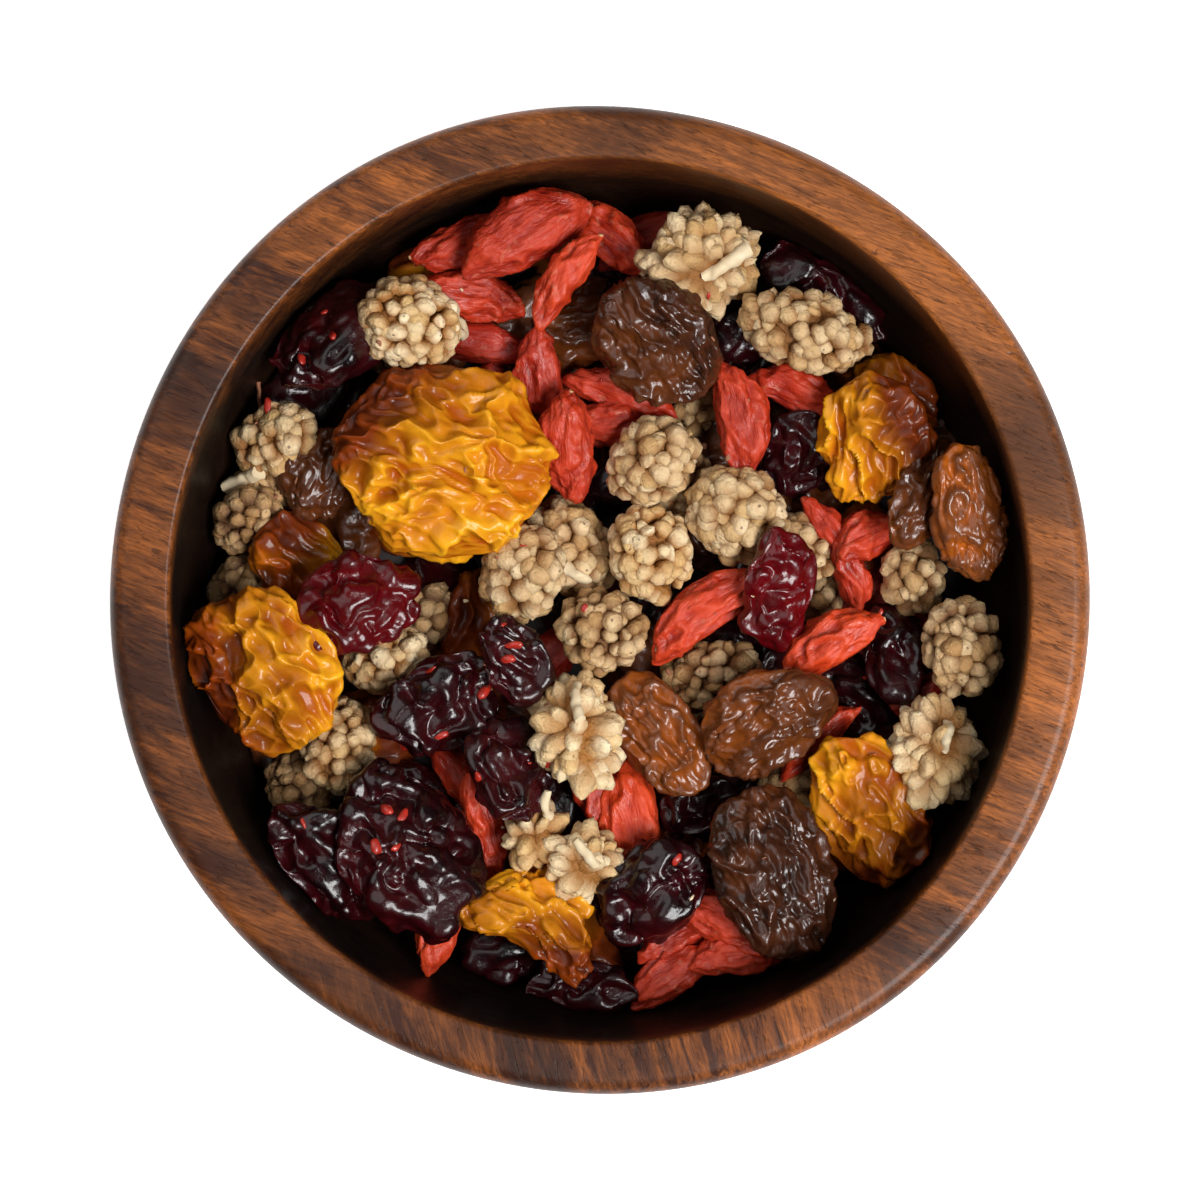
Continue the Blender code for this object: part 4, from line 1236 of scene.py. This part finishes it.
def on_fruit(x, y, lift=0.0):
    """The point of the heap that is seen at a place of the plan, and the skin's normal there."""
    spot = plan_position(Fruit(GOJI, x, y, 0, 1.0, 1.0, 0.0), SEEN_DEPTH)
    hits = [tree.ray_cast(Vector((*spot, 1.0)), Vector((0, 0, -1))) for tree in surfaces]
    found = [(hit[0], hit[1]) for hit in hits if hit[0]]
    found.append((Vector((*spot, LAYER_HEIGHTS[1])), Vector((0, 0, 1))))
    point, normal = max(found, key=lambda pair: pair[0].z)
    return point + Vector((0, 0, lift)), normal


def roughened(mesh, lump, uneven):
    """Moves each point a little its own way, and shades the mesh smooth."""
    for vertex in mesh.vertices:
        vertex.co += noise.noise_vector(vertex.co / lump) * uneven
    for polygon in mesh.polygons:
        polygon.use_smooth = True
    return mesh


def stem(steps, start_radius, end_radius, material):
    """A round tapering stem through places of the plan, each with its height above the fruit."""
    curve = bpy.data.curves.new("stem", "CURVE")
    curve.dimensions = "3D"
    curve.bevel_depth = 1.0
    curve.bevel_resolution = 3
    curve.use_fill_caps = True
    line = curve.splines.new("BEZIER")
    line.bezier_points.add(len(steps) - 1)
    for i, (x, y, lift) in enumerate(steps):
        point = line.bezier_points[i]
        point.co = on_fruit(x, y, lift * MM)[0]
        point.handle_left_type = point.handle_right_type = "AUTO"
        share = i / (len(steps) - 1)
        point.radius = (start_radius * (1 - share) + end_radius * share) * MM
    holder = bpy.data.objects.new("stem", curve)
    scene.collection.objects.link(holder)
    mesh = bpy.data.meshes.new_from_object(holder.evaluated_get(bpy.context.evaluated_depsgraph_get()))
    bpy.data.objects.remove(holder)
    mesh.materials.append(material)
    return roughened(mesh, STEM_LUMP, STEM_UNEVEN)


# Places of the plan with a height in mm above the fruit, the radius at each end in mm, and a finish
STEMS = [
    ([(577, 682, 0.1), (576, 700, 0.2), (581, 718, 0.1)], 0.5, 0.7, stem_finish),
    ([(703, 277, 0.1), (716, 270, 0.2), (732, 258, 0.3), (748, 247, 0.3)], 0.6, 0.9, stem_finish),
    ([(947, 722, 0.0), (945, 735, 0.1), (942, 748, 0.0)], 0.6, 0.4, stem_finish),
    ([(574, 838, 0.1), (586, 850, 0.2), (596, 864, 0.0)], 0.45, 0.6, stem_finish),
    ([(550, 815, 0.2), (545, 802, 1.0), (548, 790, 1.6)], 0.5, 0.35, stem_finish),
    ([(222, 484, 0.2), (240, 476, 0.4), (256, 470, 0.1)], 0.8, 0.8, stem_finish),
    ([(566, 566, 0.0), (576, 572, 0.3), (588, 578, 0.0)], 0.8, 0.5, stem_finish),
    ([(452, 308, 0.0), (460, 318, 0.3), (456, 326, 0.0)], 0.6, 0.4, stem_finish),
    ([(256, 420, 0.2), (257, 400, 1.2), (255, 378, 1.0)], 0.35, 0.22, stalk_finish),
]
stems = one_piece("mulberry_stems", [stem(*row) for row in STEMS])
food(stems)

# %% Pips
pip_finish, wiring, shader = new_finish("red pip", roughness=0.4, Coat_Weight=0.3)
place = wiring.node("ShaderNodeTexCoord").outputs["Object"]
pip_colour = wiring.mix_colour(wiring.noise(place, 1400.0), rgb(116, 22, 18), rgb(204, 50, 30))
wiring.tree.links.new(pip_colour, shader["Base Color"])

# x and y in the plan, heading, and the length and width in mm
PIPS = [
    (287, 312, 52, 2.2, 0.8),
    (303, 358, 100, 1.5, 1.0),
    (325, 310, 20, 1.1, 0.6),
    (334, 335, 120, 1.4, 0.9),
    (266, 403, 95, 2.0, 0.9),
    (513, 643, 12, 2.3, 1.0),
    (508, 657, 8, 1.9, 1.0),
    (484, 690, 55, 2.1, 1.1),
    (441, 734, 25, 1.7, 0.8),
    (430, 668, 15, 1.6, 0.5),
    (479, 774, 70, 1.6, 1.0),
    (404, 812, 60, 2.2, 1.0),
    (388, 806, 130, 1.8, 1.3),
    (378, 842, 100, 1.8, 1.4),
    (398, 843, 20, 1.3, 0.7),
    (305, 820, 110, 1.4, 0.5),
    (677, 857, 60, 1.6, 0.9),
    (548, 762, 80, 1.2, 0.6),
    (584, 606, 50, 1.0, 0.8),
    (882, 612, 60, 1.3, 0.7),
    (868, 676, 80, 0.9, 0.5),
]
BIT_LUMP = 0.6 * MM
BIT_UNEVEN = 0.22 * MM


def bit(x, y, heading, length, width, material):
    """A small flat oval that lies on the fruit under its place of the plan."""
    shape = bmesh.new()
    bmesh.ops.create_icosphere(shape, subdivisions=2, radius=0.5)
    mesh = bpy.data.meshes.new("bit")
    shape.to_mesh(mesh)
    shape.free()
    point, normal = on_fruit(x, y)
    lean = Vector((0, 0, 1)).rotation_difference(normal).to_matrix().to_4x4()
    turn = Matrix.Rotation(math.radians(heading), 4, "Z")
    size = Matrix.Diagonal((length * MM, width * MM, width * 0.7 * MM, 1.0))
    mesh.transform(Matrix.Translation(point) @ lean @ turn @ size)
    mesh.materials.append(material)
    return roughened(mesh, BIT_LUMP, BIT_UNEVEN)


food(one_piece("cranberry_pips", [bit(*row, pip_finish) for row in PIPS]))

# %% [markdown]
# ## Crumbs
#
# A bowl of dried fruit is never clean: bits of stem, skin and bead rub off and stay where they fall.
# A few dozen, thrown by chance over the heap, are enough. Most are smaller than a millimetre.

# %% Crumbs
CRUMBS = 40
CRUMB_SPREAD = 380
CRUMB_FINISHES = [stem_finish, stalk_finish, pip_finish]
CRUMB_SHARES = [0.15, 0.6, 0.25]
chance = np.random.default_rng(11)
crumbs = []
for _ in range(CRUMBS):
    reach, angle = CRUMB_SPREAD * math.sqrt(chance.uniform()), chance.uniform(0, 2 * math.pi)
    x, y = PLAN_CENTRE[0] + reach * math.cos(angle), PLAN_CENTRE[1] + reach * math.sin(angle)
    length, heading = chance.uniform(0.3, 0.9), chance.uniform(0, 180)
    material = CRUMB_FINISHES[chance.choice(len(CRUMB_FINISHES), p=CRUMB_SHARES)]
    crumbs.append(bit(x, y, heading, length, length * chance.uniform(0.4, 0.8), material))
food(one_piece("crumbs", crumbs))

# %% [markdown]
# ## What the gaps show
#
# Between the top fruit the eye looks into black gaps with more fruit at their bottom. What lies there
# can't be told apart any more, so one coarse layer of dark fruit on a core is enough; the core is
# painted nearly black, as painted shade in the gaps. Its fruits lie on a grid of triangles, each moved
# and turned by chance.

# %% The dark middle of the heap
# Painted shade: the core is coloured nearly black, for the shade at the bottom of the gaps
shade_core_finish, wiring, shader = new_finish("deep fruit", roughness=0.7)
place = wiring.node("ShaderNodeTexCoord").outputs["Object"]
painted_shade_core_colour = wiring.mix_colour(wiring.noise(place, 160.0, detail=3.0), rgb(8, 4, 4), rgb(30, 14, 10))
wiring.tree.links.new(painted_shade_core_colour, shader["Base Color"])


def core_profile(top_points=24, wall_points=24):
    """From the middle of the core's top, out along it, and down beside the wall to the middle below."""
    edge = float(inner_radius(CORE_TOP)) - CORE_GAP
    points = [(edge * i / top_points, CORE_TOP) for i in range(top_points + 1)]
    bottom = FLOOR_THICKNESS + CORE_GAP
    for i in range(1, wall_points):
        z = bottom + (CORE_TOP - bottom) * (1 - i / wall_points) ** 1.3
        points.append((float(inner_radius(z - CORE_GAP)) - CORE_GAP, z))
    points.append((0.0, bottom))
    return points


DEEP_PITCH = 8.6 * MM
DEEP_SPREAD = 40.0 * MM
DEEP_HEIGHT = 24.0 * MM
DEEP_JITTER = 2.0 * MM
DEEPEST_COARSER = 2.4

# Kind, length and width in mm and tone, and then how large a part of the deep fruit each kind is
DEEP_KINDS = [
    (CRANBERRY, 12.0, 8.5, 0.1),
    (RAISIN, 12.0, 9.0, 0.3),
    (GOJI, 12.0, 5.0, 0.1),
    (GOLDEN, 12.0, 9.0, 0.9),
]
DEEP_SHARES = [0.5, 0.25, 0.15, 0.1]
chance = np.random.default_rng(4)
deep_fruit = [turned("heap_core", core_profile(), 96)]
for vertex in deep_fruit[0].vertices:
    x, y, z = vertex.co
    factor = inner_factor(math.atan2(y, x), z)
    vertex.co = (x * factor, y * factor, z)
deep_fruit[0].materials.append(shade_core_finish)
rows = round(DEEP_SPREAD / (DEEP_PITCH * TIGHT))
for row in range(-rows, rows + 1):
    for column in range(-rows - 1, rows + 2):
        spot = np.array([(column + row % 2 / 2) * DEEP_PITCH, row * DEEP_PITCH * TIGHT])
        if math.hypot(*spot) < DEEP_SPREAD - DEEP_JITTER:
            kind, length, width, tone = DEEP_KINDS[chance.choice(len(DEEP_KINDS), p=DEEP_SHARES)]
            fruit = Fruit(kind, 0, 0, 0, length, width, tone)
            mesh = grow_wrinkled(fruit, chance.uniform(200, 900), DEEPEST_COARSER)
            spot += chance.uniform(-DEEP_JITTER, DEEP_JITTER, 2)
            lean = chance.uniform(-MOST_LEAN, MOST_LEAN, 2)
            mesh.transform(lie(spot, DEEP_HEIGHT, lean, chance.uniform(0, 360)))
            set_tone(mesh, tone)
            deep_fruit.append(mesh)
print(len(deep_fruit) - 1, "deep fruits")
food(one_piece("deep_fruit", deep_fruit))

# %% [markdown]
# ## Oiled acacia
#
# Acacia is streaked along the grain, with darker blotches where branches grew, and short dark pores.
# A turned bowl shows one block of wood, so the pattern is a solid one: it reads the place in space,
# and the streaks of the rim run on down the side. The wood is lighter towards the upper right and
# darker opposite: partly its own colour, partly painted light and shade. The hollow is painted
# nearly black below the rim, as painted shade.


# %% Acacia
def build_streaks():
    """Streaks along a direction in the level plane: long in it, short across it."""
    inputs = [
        ("Vector", "NodeSocketVector", None),
        ("Heading", "NodeSocketFloat", 0.0),
        ("Across", "NodeSocketFloat", 300.0),
        ("Along", "NodeSocketFloat", 40.0),
        ("Detail", "NodeSocketFloat", 3.0),
        ("Wander", "NodeSocketFloat", 0.3),
    ]
    tree, w, given, result = new_tree("streaks", "ShaderNodeTree", inputs, [("Streak", "NodeSocketFloat")])
    turns = {"Vector": given["Vector"], "Angle": given["Heading"]}
    turned_way = w.node("ShaderNodeVectorRotate", turns, rotation_type="Z_AXIS").outputs[0]
    stretch = w.joined(given["Along"], given["Across"], given["Across"])
    place = w.vector("MULTIPLY", turned_way, stretch)
    streak = w.noise(place, 1.0, detail=given["Detail"], roughness=0.68, distortion=given["Wander"])
    w.tree.links.new(streak, result["Streak"])
    return tree


# Which way the wood gets lighter, partly its own colour and partly painted light, and the places of
# the dark knots round the rim
TOWARDS_LIT_PALE_WOOD = (0.86, 0.51, 0.0)
KNOTS = [
    (0.046, 0.017, 0.044),
    (0.002, 0.055, 0.044),
    (-0.043, 0.023, 0.044),
    (-0.049, -0.010, 0.044),
    (-0.032, -0.038, 0.044),
    (-0.010, -0.049, 0.044),
    (0.032, -0.038, 0.044),
]
KNOT_CORE = 0.003
KNOT_REACH = 0.014

HEART_WOOD = rgb(62, 27, 9)
SAP_WOOD = rgb(172, 96, 38)
PATCH_WOOD = rgb(50, 22, 9)
LIT_PALE_WOOD = rgb(182, 108, 52)
SHADED_DARK_WOOD = rgb(52, 24, 10)
KNOT_WOOD = rgb(40, 18, 9)
FIBRE_WOOD = rgb(52, 24, 9)
PORE_WOOD = rgb(30, 14, 7)
PAINTED_SHADE_WOOD = rgb(11, 5, 3)

# Headings of the grain in degrees: over most of the bowl, and at the front of the rim, where it turns
GRAIN_HEADING = 22
FRONT_HEADING = 74
streaks = build_streaks()
acacia, wiring, shader = new_finish(
    "oiled acacia", Specular_IOR_Level=0.22, Coat_Weight=0.12, Coat_Roughness=0.2
)
place = wiring.node("ShaderNodeTexCoord").outputs["Object"]


def streak(heading, across, along, detail, wander):
    group = wiring.node("ShaderNodeGroup", node_tree=streaks)
    wiring.tree.links.new(place, group.inputs["Vector"])
    values = {
        "Heading": math.radians(heading),
        "Across": across,
        "Along": along,
        "Detail": detail,
        "Wander": wander,
    }
    for label, value in values.items():
        group.inputs[label].default_value = value
    return group.outputs["Streak"]


x, y, z = wiring.split(place)
near_front = wiring.math("MULTIPLY", wiring.remap(y, -0.034, -0.047), wiring.remap(z, 0.040, 0.047))


def grain(*numbers):
    """A streak that runs one way over most of the bowl, and turns near the front of the rim."""
    return wiring.mix_value(near_front, streak(GRAIN_HEADING, *numbers), streak(FRONT_HEADING, *numbers))


# %% The wood's colour, layer on layer
broad = grain(150.0, 26.0, 3.0, 0.9)
fine = grain(1000.0, 140.0, 5.0, 1.2)
fibres = grain(3600.0, 420.0, 2.0, 0.5)
pores = grain(1900.0, 300.0, 3.0, 1.5)
patches = grain(70.0, 30.0, 4.0, 1.6)
tone = wiring.math("MULTIPLY_ADD", broad, 0.55, wiring.math("MULTIPLY", fine, 0.45))
wood = wiring.mix_colour(wiring.remap(tone, 0.41, 0.59), HEART_WOOD, SAP_WOOD)
patched = wiring.remap(patches, 0.49, 0.58, 0.0, 0.55)
less_below = wiring.remap(z, 0.020, 0.044, 0.4, 1.0)
wood = wiring.mix_colour(wiring.math("MULTIPLY", patched, less_below), wood, PATCH_WOOD)
# Painted light and shade, partly the wood's own colour: lighter towards the upper right, darker opposite
lit_pale_side = wiring.vector("DOT_PRODUCT", place, TOWARDS_LIT_PALE_WOOD, out=1)
wood = wiring.mix_colour(wiring.remap(lit_pale_side, 0.0, 0.05, 0.0, 0.45), wood, LIT_PALE_WOOD)
wood = wiring.mix_colour(wiring.remap(lit_pale_side, 0.0, -0.05, 0.0, 0.46), wood, SHADED_DARK_WOOD)
dark = 0.0
for knot in KNOTS:
    distance = wiring.vector("LENGTH", wiring.vector("SUBTRACT", place, knot), out=1)
    dark = wiring.math("MAXIMUM", dark, wiring.remap(distance, KNOT_CORE, KNOT_REACH, 1.0, 0.0))
dark = wiring.math("MULTIPLY", dark, wiring.remap(patches, 0.40, 0.50))
wood = wiring.mix_colour(wiring.math("MULTIPLY", dark, 0.8), wood, KNOT_WOOD)
wood = wiring.mix_colour(wiring.remap(fibres, 0.40, 0.60, 0.45, 0.0), wood, FIBRE_WOOD)
wood = wiring.mix_colour(wiring.remap(pores, 0.34, 0.42, 0.6, 0.0), wood, PORE_WOOD)
# Painted shade: inside the hollow the wall is painted nearly black below the rim, darkening more slowly
# towards the back (+Y)
inside = wiring.node("ShaderNodeAttribute", attribute_name="hollow").outputs["Fac"]
shade_depth_line = wiring.remap(y, 0.0, 0.035, 0.0435, 0.0340)
painted_shade_amount = wiring.math("MULTIPLY", wiring.remap(z, 0.0476, shade_depth_line, 0.0, 0.96), inside)
wood = wiring.mix_colour(painted_shade_amount, wood, PAINTED_SHADE_WOOD)
wiring.tree.links.new(wood, shader["Base Color"])
height = wiring.math("MULTIPLY_ADD", fine, 0.8, wiring.remap(pores, 0.32, 0.44))
bump = wiring.node("ShaderNodeBump", {"Strength": 0.4, "Distance": 0.00012, "Height": height}).outputs[0]
wiring.tree.links.new(bump, shader["Normal"])
wiring.tree.links.new(wiring.remap(fine, 0.3, 0.7, 0.38, 0.56), shader["Roughness"])
bowl_mesh.materials.append(acacia)
